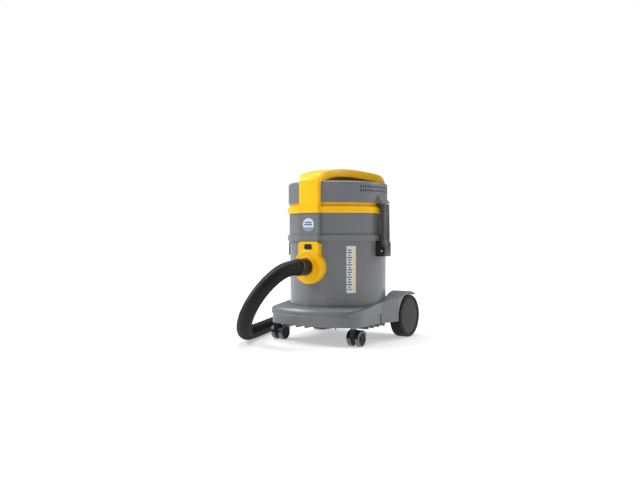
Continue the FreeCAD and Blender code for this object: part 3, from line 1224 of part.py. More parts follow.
def handle_shape():
    """Hollow yellow handle, open underneath, with screw bosses."""
    body = handle_block(0).cut(handle_block(HANDLE_WALL))
    solid = handle_block(0)
    x, y = HANDLE_SCREW_REAR
    fx, fy = HANDLE_SCREW_FRONT
    bosses = []
    for side in (-1, 1):
        bosses.append(disc(HANDLE_BOSS_R, COVER_TOP_Z, HANDLE_CROWN_Z, side * x, y).common(solid))
        bosses.append(disc(HANDLE_BOSS_R, LID_TOP_Z, COVER_TOP_Z, side * fx, fy).common(solid))
    body = join([body] + bosses)
    cuts = []
    for side in (-1, 1):
        cuts.append(disc(SCREW_R, COVER_TOP_Z - 1, COVER_TOP_Z + 14, side * x, y))
        cuts.append(disc(SCREW_R, LID_TOP_Z - 1, LID_TOP_Z + 14, side * fx, fy))
    window = box(-SWITCH_HALF_X, SWITCH_HALF_X, -SWITCH_HALF_Y, SWITCH_HALF_Y, -12, 12)
    cuts.append(tilt_on_handle(window, SWITCH_Y))
    return body.cut(cuts)


def switch_parts():
    """Switch body with its bezel, and the rocker on its pin."""
    frame = box(-SWITCH_HALF_X, SWITCH_HALF_X, -SWITCH_HALF_Y, SWITCH_HALF_Y, -SWITCH_BODY_H, 0)
    bezel = box(-SWITCH_HALF_X - SWITCH_BEZEL, SWITCH_HALF_X + SWITCH_BEZEL,
                -SWITCH_HALF_Y - SWITCH_BEZEL, SWITCH_HALF_Y + SWITCH_BEZEL, 0.6, SWITCH_BEZEL_T + 0.6)
    collar = box(-SWITCH_HALF_X, SWITCH_HALF_X, -SWITCH_HALF_Y, SWITCH_HALF_Y, -1, 1)
    throw = math.radians(ROCKER_THROW_DEG)
    drop = ROCKER_HALF_Y * math.sin(throw)
    pocket = box(-ROCKER_HALF_X - SLIDE_GAP, ROCKER_HALF_X + SLIDE_GAP,
                 -ROCKER_HALF_Y - SLIDE_GAP, ROCKER_HALF_Y + SLIDE_GAP,
                 -2 * drop - 6, SWITCH_BEZEL_T + 2)
    body = join([frame, bezel, collar]).cut(pocket)
    pin_z = -drop - 1
    body = body.cut(rod(ROCKER_PIN_R + RUNNING_GAP,
                        (-SWITCH_HALF_X + 1, 0, pin_z), X_AXIS, 2 * SWITCH_HALF_X - 2))
    top = SWITCH_BEZEL_T
    rocker_outline = [
        (-ROCKER_HALF_Y, pin_z), (ROCKER_HALF_Y, pin_z), (ROCKER_HALF_Y, top - drop),
        (0, top + 0.4), (-ROCKER_HALF_Y, top + drop),
    ]
    rocker = side_prism(rocker_outline, -ROCKER_HALF_X, ROCKER_HALF_X)
    # The ends are round about the pin, so that they keep their gap as it tips.
    rocker = rocker.common(rod(ROCKER_HALF_Y, (-ROCKER_HALF_X, 0, pin_z), X_AXIS,
                               2 * ROCKER_HALF_X))
    pin = rod(ROCKER_PIN_R, (-SWITCH_HALF_X + 1 + SLIDE_GAP, 0, pin_z), X_AXIS,
              2 * (SWITCH_HALF_X - 1 - SLIDE_GAP))
    rocker = join([rocker, pin])
    return tilt_on_handle(body, SWITCH_Y), tilt_on_handle(rocker, SWITCH_Y)


def cable_gland():
    """Gland at the back of the cover for the mains lead."""
    inside_y = COVER_R - GLAND_INSIDE
    barrel = rod(GLAND_R, (0, inside_y, GLAND_Z), Y_AXIS, GLAND_INSIDE + GLAND_OUTSIDE)
    barrel = rounded(barrel, 1.5, lambda edge: edge.BoundBox.YMin > COVER_R + GLAND_OUTSIDE - 1e-3)
    flange = rod(GLAND_FLANGE_R, (0, COVER_R, GLAND_Z), Y_AXIS, GLAND_FLANGE_T)
    body = join([barrel, flange])
    return body.cut(rod(GLAND_BORE_R, (0, inside_y - 1, GLAND_Z), Y_AXIS,
                        GLAND_INSIDE + GLAND_OUTSIDE + 2))


# --------------------------------------------------------------------- motor
def motor_parts():
    """Fixed parts of the suction motor, standing in the lid's well."""
    z0 = WELL_FLOOR_Z + WELL_FLOOR_T
    gasket = ring(FAN_R - 4, FAN_R - 4 - GASKET_W, z0, z0 + GASKET_T)
    fan_z0 = z0 + GASKET_T
    fan_z1 = fan_z0 + FAN_H
    fan = disc(FAN_R, fan_z0, fan_z1).cut(
        disc(FAN_R - FAN_WALL, fan_z0 + FAN_WALL, fan_z1 - FAN_WALL))
    fan = fan.cut(disc(IMPELLER_EYE_R, fan_z0 - 1, fan_z0 + FAN_WALL + 1))
    fan = fan.cut(disc(SHAFT_R + 2, fan_z1 - FAN_WALL - 1, fan_z1 + 1))
    housing = disc(MOTOR_R, fan_z1, MOTOR_TOP_Z).cut(
        disc(MOTOR_R - MOTOR_WALL, fan_z1 + MOTOR_WALL, MOTOR_TOP_Z - MOTOR_WALL))
    housing = housing.cut(disc(SHAFT_R + 1, fan_z1 - 1, MOTOR_TOP_Z + 1))
    for z in (STATOR_Z0 - 6, COMMUTATOR_Z0):
        for step in range(6):
            port = box(MOTOR_R - 6, MOTOR_R + 2, -8, 8, z, z + 5)
            housing = housing.cut(spun(port, 60 * step + 30))
    lower_seat = ring(BEARING_R + 2, BEARING_R, fan_z1 + MOTOR_WALL,
                      fan_z1 + MOTOR_WALL + BEARING_H)
    upper_seat = ring(BEARING_R + 2, BEARING_R, MOTOR_TOP_Z - MOTOR_WALL - BEARING_H,
                      MOTOR_TOP_Z - MOTOR_WALL)
    housing = join([housing, lower_seat, upper_seat])
    stator = ring(MOTOR_R - MOTOR_WALL, STATOR_R_IN, STATOR_Z0, STATOR_Z1)
    bearings = [
        ring(BEARING_R, SHAFT_R + RUNNING_GAP, fan_z1 + MOTOR_WALL,
             fan_z1 + MOTOR_WALL + BEARING_H),
        ring(BEARING_R, SHAFT_R + RUNNING_GAP, MOTOR_TOP_Z - MOTOR_WALL - BEARING_H,
             MOTOR_TOP_Z - MOTOR_WALL),
    ]
    half = BRUSH_SIZE / 2
    middle = (COMMUTATOR_Z0 + COMMUTATOR_Z1) / 2
    brush = box(COMMUTATOR_R + REST_GAP, MOTOR_R - MOTOR_WALL - 1, -half, half,
                middle - half, middle + half)
    brush = join([brush, box(MOTOR_R - MOTOR_WALL - 8, MOTOR_R - MOTOR_WALL - 0.5, -half - 3,
                             half + 3, middle - half - 3, middle + half + 3)])
    brush = brush.common(disc(MOTOR_R - MOTOR_WALL, 0, MOTOR_TOP_Z))
    brush = brush.cut(ring(2 * COMMUTATOR_R, COMMUTATOR_R - 5, 0, STATOR_Z1))
    return gasket, fan, housing, stator, bearings, [brush, mirrored(brush)]


def rotor_parts():
    """Shaft, armature and impeller, which spin together."""
    shaft = disc(SHAFT_R, SHAFT_Z0, MOTOR_TOP_Z - 1)
    armature = join([
        ring(ARMATURE_R, SHAFT_R, STATOR_Z0 + 1, STATOR_Z1 - 1),
        ring(COMMUTATOR_R, SHAFT_R, STATOR_Z1 - 1, COMMUTATOR_Z1),
    ])
    low = ring(IMPELLER_R, IMPELLER_EYE_R, IMPELLER_Z0, IMPELLER_Z0 + IMPELLER_PLATE)
    top_z = IMPELLER_Z0 + IMPELLER_H
    high = ring(IMPELLER_R, SHAFT_R, top_z - IMPELLER_PLATE, top_z)
    hub = ring(SHAFT_R + 4, SHAFT_R, top_z - 12, top_z)
    blades = []
    for step in range(IMPELLER_BLADES):
        blade = box(IMPELLER_EYE_R + 1, IMPELLER_R - 2, -0.75, 0.75, IMPELLER_Z0, top_z)
        blade.rotate(FreeCAD.Vector(IMPELLER_EYE_R + 1, 0, 0), Z_AXIS, 20)
        blades.append(spun(blade, 360 / IMPELLER_BLADES * step))
    return shaft, armature, join([low, high, hub] + blades)


def motor_clamp():
    """Strap across the motor's top that screws down to the deck."""
    half = CLAMP_W / 2
    span = CLAMP_REACH - CLAMP_FOOT
    top = box(-span, span, -half, half, MOTOR_TOP_Z, MOTOR_TOP_Z + CLAMP_T)
    legs = []
    for side in (-1, 1):
        inner = span - CLAMP_T
        leg = box(inner, inner + CLAMP_T, -half, half, LID_BAND_Z1, MOTOR_TOP_Z + CLAMP_T)
        foot = box(inner, CLAMP_REACH, -half, half, LID_BAND_Z1, LID_BAND_Z1 + CLAMP_T)
        for shape in (leg, foot):
            legs.append(shape if side > 0 else mirrored(shape))
    body = join([top] + legs)
    return body.cut([disc(SCREW_R, LID_BAND_Z1 - 1, LID_BAND_Z1 + CLAMP_T + 1, x, y)
                     for x, y in CLAMP_SCREWS])


def head_screws():
    """Screws of the head: cover to lid, handle to cover, clamp to deck."""
    screws = [screw(x, y, LID_TOP_Z + COVER_FOOT_T, -Z_AXIS, COVER_FOOT_T + SCREW_GRIP)
              for x, y in COVER_SCREWS]
    x, y = HANDLE_SCREW_REAR
    for side in (-1, 1):
        screws.append(screw(side * x, y, COVER_TOP_Z - COVER_WALL, Z_AXIS, COVER_WALL + SCREW_GRIP))
    for x, y in CLAMP_SCREWS:
        screws.append(screw(x, y, LID_BAND_Z1 + CLAMP_T, -Z_AXIS, CLAMP_T + DECK_T))
    return screws


# --------------------------------------------------------------------- float
def float_parts():
    """Slotted cage under the motor well and the float inside it."""
    flange = ring(CAGE_R + 8, CAGE_R - CAGE_WALL, WELL_FLOOR_Z - CAGE_WALL, WELL_FLOOR_Z)
    wall = ring(CAGE_R, CAGE_R - CAGE_WALL, CAGE_BOTTOM_Z, WELL_FLOOR_Z)
    floor = disc(CAGE_R, CAGE_BOTTOM_Z, CAGE_BOTTOM_Z + CAGE_WALL)
    cage = join([flange, wall, floor])
    slots = []
    for step in range(CAGE_SLOTS):
        slot = box(CAGE_R - 6, CAGE_R + 2, -CAGE_SLOT_W / 2, CAGE_SLOT_W / 2,
                   CAGE_BOTTOM_Z + 6, WELL_FLOOR_Z - 8)
        slots.append(spun(slot, 360 / CAGE_SLOTS * step))
    cage = cage.cut(slots)
    z0 = CAGE_BOTTOM_Z + CAGE_WALL + REST_GAP
    body = disc(FLOAT_R, z0, z0 + FLOAT_H)
    body = rounded(body, 5.0, lambda edge: flat_at(edge, z0) or flat_at(edge, z0 + FLOAT_H))
    return cage, body


# -------------------------------------------------------------------- labels
def tank_label():
    """Thin rounded label wrapped on the tank."""
    half_deg = math.degrees(LABEL_W / 2 / TANK_R)
    shell = ring(TANK_R + LABEL_T, TANK_R, LABEL_Z0, LABEL_Z1)
    reach = 2 * TANK_R
    blade = plan_prism([
        (0, 0),
        (reach * math.sin(math.radians(LABEL_CENTRE_DEG - half_deg)),
         -reach * math.cos(math.radians(LABEL_CENTRE_DEG - half_deg))),
        (reach * math.sin(math.radians(LABEL_CENTRE_DEG + half_deg)),
         -reach * math.cos(math.radians(LABEL_CENTRE_DEG + half_deg))),
    ], LABEL_Z0, LABEL_Z1)
    label = shell.common(blade)
    return rounded(label, LABEL_CORNER, lambda edge: edge.Length < LABEL_T * 1.5
                   and edge.BoundBox.ZLength < 1e-6)


def front_badge():
    """Round-cornered plate on the filter ring's column."""
    y1 = COLUMN_FACE_Y
    plate = box(-BADGE_HALF, BADGE_HALF, y1 - LABEL_T, y1, BADGE_Z0, BADGE_Z1)
    return rounded(plate, 8.0, lambda edge: abs(edge.BoundBox.YLength - LABEL_T) < 1e-3)


# -------------------------------------------------------------------- export
def save_pair(left_name, right_name, right_shape):
    """Write a right-hand piece and its mirror image."""
    save(right_name, right_shape)
    save(left_name, mirrored(right_shape))


def save_trolley():
    """Write the trolley, its axle, wheels and casters."""
    save("base_trolley", base_trolley())
    axle = rod(AXLE_R, (-AXLE_END_X, WHEEL_Y, WHEEL_R), X_AXIS, 2 * AXLE_END_X)
    save("rear_axle", axle)
    clip = axle_clip()
    save("axle_clips", Part.makeCompound([clip, mirrored(clip)]))
    hub, tyre, cap = wheel_parts()
    save_pair("rear_hub_left", "rear_hub_right", hub)
    save_pair("rear_tyre_left", "rear_tyre_right", tyre)
    save_pair("rear_cap_left", "rear_cap_right", cap)
    for side, word in ((-1, "left"), (1, "right")):
        stem, hood, axle = caster_parts(side)
        save("caster_stem_" + word, stem)
        save("caster_hood_" + word, hood)
        save("caster_axle_" + word, axle)
        for outward, place in ((-side, "inner"), (side, "outer")):
            wheel = Part.makeCompound(caster_wheel(side, outward))
            save("caster_wheel_" + word + "_" + place, wheel)


def save_tank():
    """Write the tank, the filter parts, the inlet and the latches."""
    save("tank", tank_shape())
    seal_z = TANK_TOP_Z
    save("tank_seal", ring(TANK_R, TANK_R - TANK_SEAL_W, seal_z, seal_z + TANK_SEAL_T))
    save("filter_ring", filter_ring())
    rim, cloth = filter_parts()
    save("filter_rim", rim)
    save("filter_cloth", cloth)
    save("inlet_housing", inlet_housing())
    save("inlet_seal", inlet_seal())
    save("inlet_deflector", deflector())
    save("release_button", button_shape())
    save("button_spring", button_spring())
    save("tank_label", tank_label())
    save("front_badge", front_badge())
    save_pair("latch_lever_left", "latch_lever_right", latch_lever())
    save_pair("latch_bracket_left", "latch_bracket_right", latch_bracket())
    pin = latch_pin()
    save("latch_pins", Part.makeCompound([pin, mirrored(pin)]))
    save("tank_screws", Part.makeCompound(tank_screws()))


def save_hose():
    """Write the hose with its connector and its cuff."""
    save("hose_connector", hose_connector())
    save("hose_tube", hose_tube(), shift=False)
    save("hose_end_cuff", hose_cuff(), shift=False)


def save_head():
    """Write the lid, the cover, the handle, the switch, the motor and the float."""
    save("lid_ring", lid_ring())
    save("lid_seal", lid_seal())
    save("head_cover", head_cover())
    save("carry_handle", handle_shape())
    save("head_screws", Part.makeCompound(head_screws()))
    body, rocker = switch_parts()
    save("switch_body", body)
    save("switch_rocker", rocker)
    save("cable_gland", cable_gland())
    gasket, fan, housing, stator, bearings, brushes = motor_parts()
    save("motor_gasket", gasket)
    save("fan_housing", fan)
    save("motor_housing", housing)
    save("motor_stator", stator)
    save("motor_bearings", Part.makeCompound(bearings))
    save("carbon_brushes", Part.makeCompound(brushes))
    save("motor_clamp", motor_clamp())
    shaft, armature, impeller = rotor_parts()
    save("motor_shaft", shaft)
    save("motor_armature", armature)
    save("fan_impeller", impeller)
    cage, body = float_parts()
    save("float_cage", cage)
    save("shutoff_float", body)


os.makedirs("parts", exist_ok=True)
save_trolley()
save_tank()
save_hose()
save_head()
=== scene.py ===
"""Looks of the shop vacuum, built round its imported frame.  Metres, +Z up, front towards -Y."""

import logging
import math
from contextlib import contextmanager
from dataclasses import dataclass
from enum import Enum
from typing import Callable, Iterator, Sequence

import bmesh
import bpy
from mathutils import Matrix, Vector


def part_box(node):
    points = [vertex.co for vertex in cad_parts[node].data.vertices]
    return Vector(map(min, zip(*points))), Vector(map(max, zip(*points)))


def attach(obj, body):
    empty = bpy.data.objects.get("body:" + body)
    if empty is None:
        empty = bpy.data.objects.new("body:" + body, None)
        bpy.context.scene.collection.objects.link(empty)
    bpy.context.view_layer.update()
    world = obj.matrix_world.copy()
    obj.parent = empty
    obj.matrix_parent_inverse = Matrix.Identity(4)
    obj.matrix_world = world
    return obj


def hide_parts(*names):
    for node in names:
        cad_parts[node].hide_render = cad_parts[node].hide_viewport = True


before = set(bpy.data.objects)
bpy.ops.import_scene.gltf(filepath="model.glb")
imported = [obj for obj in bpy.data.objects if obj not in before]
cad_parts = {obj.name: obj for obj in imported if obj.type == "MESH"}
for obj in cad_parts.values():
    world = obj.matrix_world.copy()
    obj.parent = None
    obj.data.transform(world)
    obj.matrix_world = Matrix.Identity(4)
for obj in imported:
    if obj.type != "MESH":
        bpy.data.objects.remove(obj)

LOG = logging.getLogger("shop_vacuum")
MM = 0.001
TINY = 1e-9  # keeps a division off zero
CLOSE = 1e-6  # corners this near become one
TOUCH = 0.1 * MM  # slack when a corner is tested against a plane
FACING = 0.9  # share of a direction along an axis that counts as lying along it
MIRROR_X = Matrix.Scale(-1, 4, Vector((1, 0, 0)))
TURN = 2 * math.pi

Point = tuple[float, float, float]
Colour = tuple[float, float, float]
Test = Callable[[Vector, Vector], bool]
Outline = list[tuple[float, float]]


class Axis(Enum):
    """A row axis that a piece is turned about."""

    X = 0
    Y = 1
    Z = 2


class Side(Enum):
    """The two sides of the vacuum, with the sign of X on each."""

    LEFT = -1
    RIGHT = 1

    @property
    def word(self) -> str:
        """The side's name as the nodes spell it."""
        return self.name.lower()


# --------------------------------------------------------------------- shader maths
class Value:
    """A shader socket that can be used in Python arithmetic."""

    def __init__(self, graph: "Graph", socket: bpy.types.NodeSocket) -> None:
        """Wrap a socket of a graph."""
        self.graph = graph
        self.socket = socket

    def _math(self, operation: str, *terms: "Value | float") -> "Value":
        """Add one Math node over the terms."""
        return self.graph.node("ShaderNodeMath", {"operation": operation}, dict(enumerate(terms)))

    def __add__(self, other: "Value | float") -> "Value":
        """Sum."""
        return self._math("ADD", self, other)

    def __sub__(self, other: "Value | float") -> "Value":
        """Difference."""
        return self._math("SUBTRACT", self, other)

    def __mul__(self, other: "Value | float") -> "Value":
        """Product."""
        return self._math("MULTIPLY", self, other)

    def __truediv__(self, other: "Value | float") -> "Value":
        """Quotient."""
        return self._math("DIVIDE", self, other)

    def __rsub__(self, other: float) -> "Value":
        """Difference from a plain number."""
        return self._math("SUBTRACT", other, self)

    __radd__ = __add__
    __rmul__ = __mul__

    def wave(self) -> "Value":
        """Sine of the value."""
        return self._math("SINE", self)

    def size(self) -> "Value":
        """Absolute value."""
        return self._math("ABSOLUTE", self)

    def root(self) -> "Value":
        """Square root."""
        return self._math("SQRT", self)

    def part(self) -> "Value":
        """Fractional part."""
        return self._math("FRACT", self)

    def whole(self) -> "Value":
        """Whole number below the value."""
        return self._math("FLOOR", self)

    def above(self, limit: "Value | float") -> "Value":
        """1 where the value is over the limit, else 0."""
        return self._math("GREATER_THAN", self, limit)

    def below(self, limit: "Value | float") -> "Value":
        """1 where the value is under the limit, else 0."""
        return self._math("LESS_THAN", self, limit)

    def between(self, low: float, high: float) -> "Value":
        """1 where the value is between two limits, else 0."""
        return self.above(low) * self.below(high)

    def most(self, other: "Value | float") -> "Value":
        """The larger of two values."""
        return self._math("MAXIMUM", self, other)

    def span(self, low: float, high: float, to_low: float = 0.0, to_high: float = 1.0) -> "Value":
        """Smooth step from one range to another.

        Args:
            low: value that gives to_low.
            high: value that gives to_high.
            to_low: result at and before low.
            to_high: result at and after high.

        Returns:
            The mapped value.
        """
        return self.graph.node(
            "ShaderNodeMapRange", {"interpolation_type": "SMOOTHSTEP"},
            {"Value": self, "From Min": low, "From Max": high, "To Min": to_low, "To Max": to_high})


class Graph:
    """One material's node tree, with a principled shader at its end."""

    def __init__(self, name: str) -> None:
        """Make an empty material of this name."""
        self.material = bpy.data.materials.new(name)
        self.material.use_nodes = True
        self.tree = self.material.node_tree
        self.shader = self.tree.nodes["Principled BSDF"]
        self._place: Value | None = None

    def node(self, kind: str, settings: dict | None = None, sockets: dict | None = None,
             output: int | str = 0) -> Value:
        """Add a node.

        Args:
            kind: the node's type name.
            settings: attributes set before its sockets; "stops" fills a colour ramp.
            sockets: numbers, tuples or values for its input sockets, by name or place.
            output: the output socket that is wanted.

        Returns:
            That output as a value.
        """
        made = self.tree.nodes.new(kind)
        for key, setting in (settings or {}).items():
            if key == "stops":
                self._fill_ramp(made.color_ramp, setting)
            else:
                setattr(made, key, setting)
        for key, given in (sockets or {}).items():
            self.feed(made.inputs[key], given)
        return Value(self, made.outputs[output])

    @staticmethod
    def _fill_ramp(ramp: bpy.types.ColorRamp, stops: Sequence[tuple[float, Colour]]) -> None:
        """Put colour stops on a ramp that starts with two."""
        while len(ramp.elements) < len(stops):
            ramp.elements.new(0.5)
        for element, (place, colour) in zip(ramp.elements, stops):
            element.position = place
            element.color = (*colour, 1.0)

    def feed(self, socket: bpy.types.NodeSocket, given: "Value | float | tuple") -> None:
        """Link a value to a socket, or set a constant on it."""
        if isinstance(given, Value):
            self.tree.links.new(given.socket, socket)
        else:
            socket.default_value = given

    def set(self, **inputs: "Value | float | tuple") -> None:
        """Feed the principled shader; underscores stand for spaces."""
        for key, given in inputs.items():
            self.feed(self.shader.inputs[key.replace("_", " ")], given)

    def place(self) -> Value:
        """Object coordinates, shared by the whole graph."""
        if self._place is None:
            self._place = self.node("ShaderNodeTexCoord", output="Object")
        return self._place

    def axes(self) -> tuple[Value, Value, Value]:
        """X, Y and Z of the place on the object."""
        split = self.node("ShaderNodeSeparateXYZ", sockets={0: self.place()})
        outputs = split.socket.node.outputs
        return Value(self, outputs[0]), Value(self, outputs[1]), Value(self, outputs[2])

    def noise(self, scale: float, detail: float = 2.0, rough: float = 0.5) -> Value:
        """Noise of a given scale over the object, from 0 to 1."""
        return self.node("ShaderNodeTexNoise", sockets={
            "Vector": self.place(), "Scale": scale, "Detail": detail, "Roughness": rough})

    def cells(self, scale: float) -> Value:
        """Distance to the nearest of scattered points."""
        return self.node("ShaderNodeTexVoronoi", sockets={"Vector": self.place(), "Scale": scale})

    def mix(self, factor: "Value | float", first: "Value | tuple", second: "Value | tuple",
            blend: str = "MIX") -> Value:
        """Mix two colours by a factor."""
        made = self.tree.nodes.new("ShaderNodeMix")
        made.data_type = "RGBA"
        made.blend_type = blend
        self.feed(made.inputs[0], factor)
        for socket, given in ((made.inputs[6], first), (made.inputs[7], second)):
            self.feed(socket, given if isinstance(given, Value) else (*given[:3], 1.0))
        return Value(self, made.outputs[2])

    def bump(self, height: Value, strength: float, distance: float) -> None:
        """Feed a height to the shader's normal through a Bump node."""
        self.set(Normal=self.node("ShaderNodeBump", sockets={
            "Height": height, "Strength": strength, "Distance": distance}))


# --------------------------------------------------------------------------- finishes
@dataclass(frozen=True)
class MouldedPlastic:
    """Injection-moulded plastic: even colour, a fine spark grain and faint flow marks."""

    name: str
    colour: Colour
    roughness: float = 0.36
    mottle: float = 0.05
    sheen: float = 0.5
    flow_scale: float = 9.0
    flow_swing: float = 0.06
    flow_span: tuple[float, float] = (0.35, 0.65)
    grain_scale: float = 1600.0
    grain_swing: float = 0.04
    grain_strength: float = 0.5
    grain_depth: float = 0.00006
    dust_height: float = 0.0
    dust_amount: float = 0.28
    dust_scale: float = 60.0
    dust_dulling: float = 0.5
    dust_colour: Colour = (0.42, 0.40, 0.37)

    def make(self) -> bpy.types.Material:
        """Build the material."""
        graph = Graph(self.name)
        flow = graph.noise(self.flow_scale, detail=3.0)
        grain = graph.noise(self.grain_scale, detail=1.0)
        light = tuple(min(1.0, part * (1 + self.mottle)) for part in self.colour)
        dark = tuple(part * (1 - self.mottle) for part in self.colour)
        body = graph.mix(flow.span(*self.flow_span), dark, light)
        base = self.roughness - (self.flow_swing + self.grain_swing) / 2
        rough = flow * self.flow_swing + grain * self.grain_swing + base
        if self.dust_height > 0:
            settled = graph.axes()[2].span(0.0, self.dust_height, self.dust_amount, 0.0)
            dust = settled * graph.noise(self.dust_scale, detail=4.0)
            body = graph.mix(dust, body, self.dust_colour)
            rough = rough + dust * self.dust_dulling
        graph.set(Base_Color=body, Roughness=rough, Specular_IOR_Level=self.sheen)
        graph.bump(grain, self.grain_strength, self.grain_depth)
        return graph.material


@dataclass(frozen=True)
class Rubber:
    """Matte rubber or soft vinyl with a faint bloom and scuffs near the floor."""

    name: str
    colour: Colour
    roughness: float = 0.62
    bloom: float = 0.12
    bloom_share: float = 0.08
    sheen: float = 0.35
    cloud_scale: float = 38.0
    cloud_swing: float = 0.14
    cloud_span: tuple[float, float] = (0.40, 0.72)
    grain_scale: float = 900.0
    grain_strength: float = 0.4
    grain_depth: float = 0.00008
    scuff_height: float = 0.0
    scuff_amount: float = 0.45
    scuff_scale: float = 150.0
    scuff_colour: Colour = (0.16, 0.155, 0.145)

    def make(self) -> bpy.types.Material:
        """Build the material."""
        graph = Graph(self.name)
        cloud = graph.noise(self.cloud_scale, detail=5.0, rough=0.6)
        pale = tuple(part + self.bloom * self.bloom_share for part in self.colour)
        body = graph.mix(cloud.span(*self.cloud_span), self.colour, pale)
        rough = cloud * self.cloud_swing + (self.roughness - self.cloud_swing / 2)
        if self.scuff_height > 0:
            rubbed = graph.axes()[2].span(0.0, self.scuff_height, self.scuff_amount, 0.0)
            scuffs = rubbed * graph.noise(self.scuff_scale, detail=5.0)
            body = graph.mix(scuffs, body, self.scuff_colour)
        graph.set(Base_Color=body, Roughness=rough, Specular_IOR_Level=self.sheen)
        graph.bump(graph.noise(self.grain_scale), self.grain_strength, self.grain_depth)
        return graph.material


@dataclass(frozen=True)
class Metal:
    """Plated, pressed or turned metal with fine marks along one axis."""

    name: str
    colour: Colour
    roughness: float = 0.3
    marks: Axis = Axis.Z
    across_scale: float = 420.0
    along_scale: float = 12.0
    mark_swing: float = 0.16
    spot_scale: float = 25.0
    spot_swing: float = 0.1
    spot_span: tuple[float, float] = (0.35, 0.7)
    spot_shade: float = 0.82
    mark_strength: float = 0.25
    mark_depth: float = 0.00003

    def make(self) -> bpy.types.Material:
        """Build the material."""
        graph = Graph(self.name)
        stretch = [self.across_scale] * 3
        stretch[self.marks.value] = self.along_scale
        lengthened = graph.node("ShaderNodeVectorMath", {"operation": "MULTIPLY"},
                                {0: graph.place(), 1: tuple(stretch)})
        lines = graph.node("ShaderNodeTexNoise", sockets={
            "Vector": lengthened, "Scale": 1.0, "Detail": 3.0})
        spots = graph.noise(self.spot_scale, detail=4.0)
        dull = tuple(part * self.spot_shade for part in self.colour)
        base = self.roughness - self.spot_swing
        body = graph.mix(spots.span(*self.spot_span), self.colour, dull)
        graph.set(Base_Color=body, Metallic=1.0,
                  Roughness=lines * self.mark_swing + spots * self.spot_swing + base)
        graph.bump(lines, self.mark_strength, self.mark_depth)
        return graph.material


@dataclass(frozen=True)
class Felt:
    """Needle felt of the filter, with fibres and small pills."""

    name: str
    colour: Colour
    roughness: float = 0.85
    shade: float = 0.72
    fibre_scale: float = 700.0
    fibre_swing: float = 0.1
    fibre_span: tuple[float, float] = (0.3, 0.7)
    pill_scale: float = 260.0
    pill_share: float = 0.4
    strength: float = 0.8
    depth: float = 0.0006

    def make(self) -> bpy.types.Material:
        """Build the material."""
        graph = Graph(self.name)
        fibres = graph.noise(self.fibre_scale, detail=6.0, rough=0.7)
        pills = graph.cells(self.pill_scale)
        dark = tuple(part * self.shade for part in self.colour)
        graph.set(Base_Color=graph.mix(fibres.span(*self.fibre_span), dark, self.colour),
                  Roughness=fibres * self.fibre_swing + self.roughness)
        graph.bump(fibres + pills * self.pill_share, self.strength, self.depth)
        return graph.material


@dataclass(frozen=True)
class Winding:
    """Varnished copper between stacked steel sheets."""

    name: str
    steel: Colour = (0.18, 0.18, 0.19)
    copper: Colour = (0.55, 0.22, 0.09)
    sheet: float = 0.0011
    coil_inner: float = 0.016
    coil_outer: float = 0.034
    wire_turns: tuple[float, float] = (260.0, 900.0)
    roughness: float = 0.3
    varnish_scale: float = 80.0
    varnish_swing: float = 0.2
    strength: float = 0.5
    depth: float = 0.0002

    def make(self) -> bpy.types.Material:
        """Build the material."""
        graph = Graph(self.name)
        across, along, height = graph.axes()
        reach = (across * across + along * along).root()
        stack = (height / self.sheet * TURN).wave()
        wound = (reach * self.wire_turns[0] + height * self.wire_turns[1]).wave()
        coil = reach.between(self.coil_inner, self.coil_outer)
        graph.set(Base_Color=graph.mix(coil, self.steel, self.copper), Metallic=0.9,
                  Roughness=graph.noise(self.varnish_scale) * self.varnish_swing + self.roughness)
        graph.bump(stack * (1 - coil) + wound * coil, self.strength, self.depth)
        return graph.material


@dataclass(frozen=True)
class PrintedFilm:
    """Printed label film: silver ground, plain blue bars and a yellow band, no lettering.

    Bars are stacked up the label's height, bar_pitch metres apart.  The other measures are
    shares: of the pitch for bar_span, of the half width for the sides, of the height for margins.
    """

    name: str
    low: float
    high: float
    centre: float
    half_width: float
    ground: Colour = (0.66, 0.68, 0.72)
    ink: Colour = (0.014, 0.022, 0.13)
    band: Colour = (0.86, 0.58, 0.06)
    bar_pitch: float = 0.0082
    bar_span: tuple[float, float] = (0.24, 0.70)
    bar_shift: float = 0.28
    bar_reach: float = 0.42
    reach_swing: float = 0.16
    reach_step: float = 2.4
    bar_margin: float = 0.07
    stripe_span: tuple[float, float] = (0.52, 0.80)
    stripe_margin: float = 0.05
    coat: float = 0.3
    roughness: float = 0.24
    smear_scale: float = 40.0
    smear_swing: float = 0.08

    def make(self) -> bpy.types.Material:
        """Build the material."""
        graph = Graph(self.name)
        across, _, height = graph.axes()
        side = (across - self.centre) / self.half_width
        run = (height - self.low) / (self.high - self.low)
        step = (height - self.low) / self.bar_pitch
        reach = (step.whole() * self.reach_step).wave() * self.reach_swing + self.bar_reach
        bar = step.part().between(*self.bar_span) * (side + self.bar_shift).size().below(reach)
        printed = bar * run.between(self.bar_margin, 1 - self.bar_margin)
        stripe = (side.between(*self.stripe_span)
                  * run.between(self.stripe_margin, 1 - self.stripe_margin))
        body = graph.mix(printed, self.ground, self.ink)
        body = graph.mix(stripe, body, self.band)
        rough = graph.noise(self.smear_scale) * self.smear_swing + self.roughness
        graph.set(Base_Color=body, Roughness=rough, Coat_Weight=self.coat)
        return graph.material


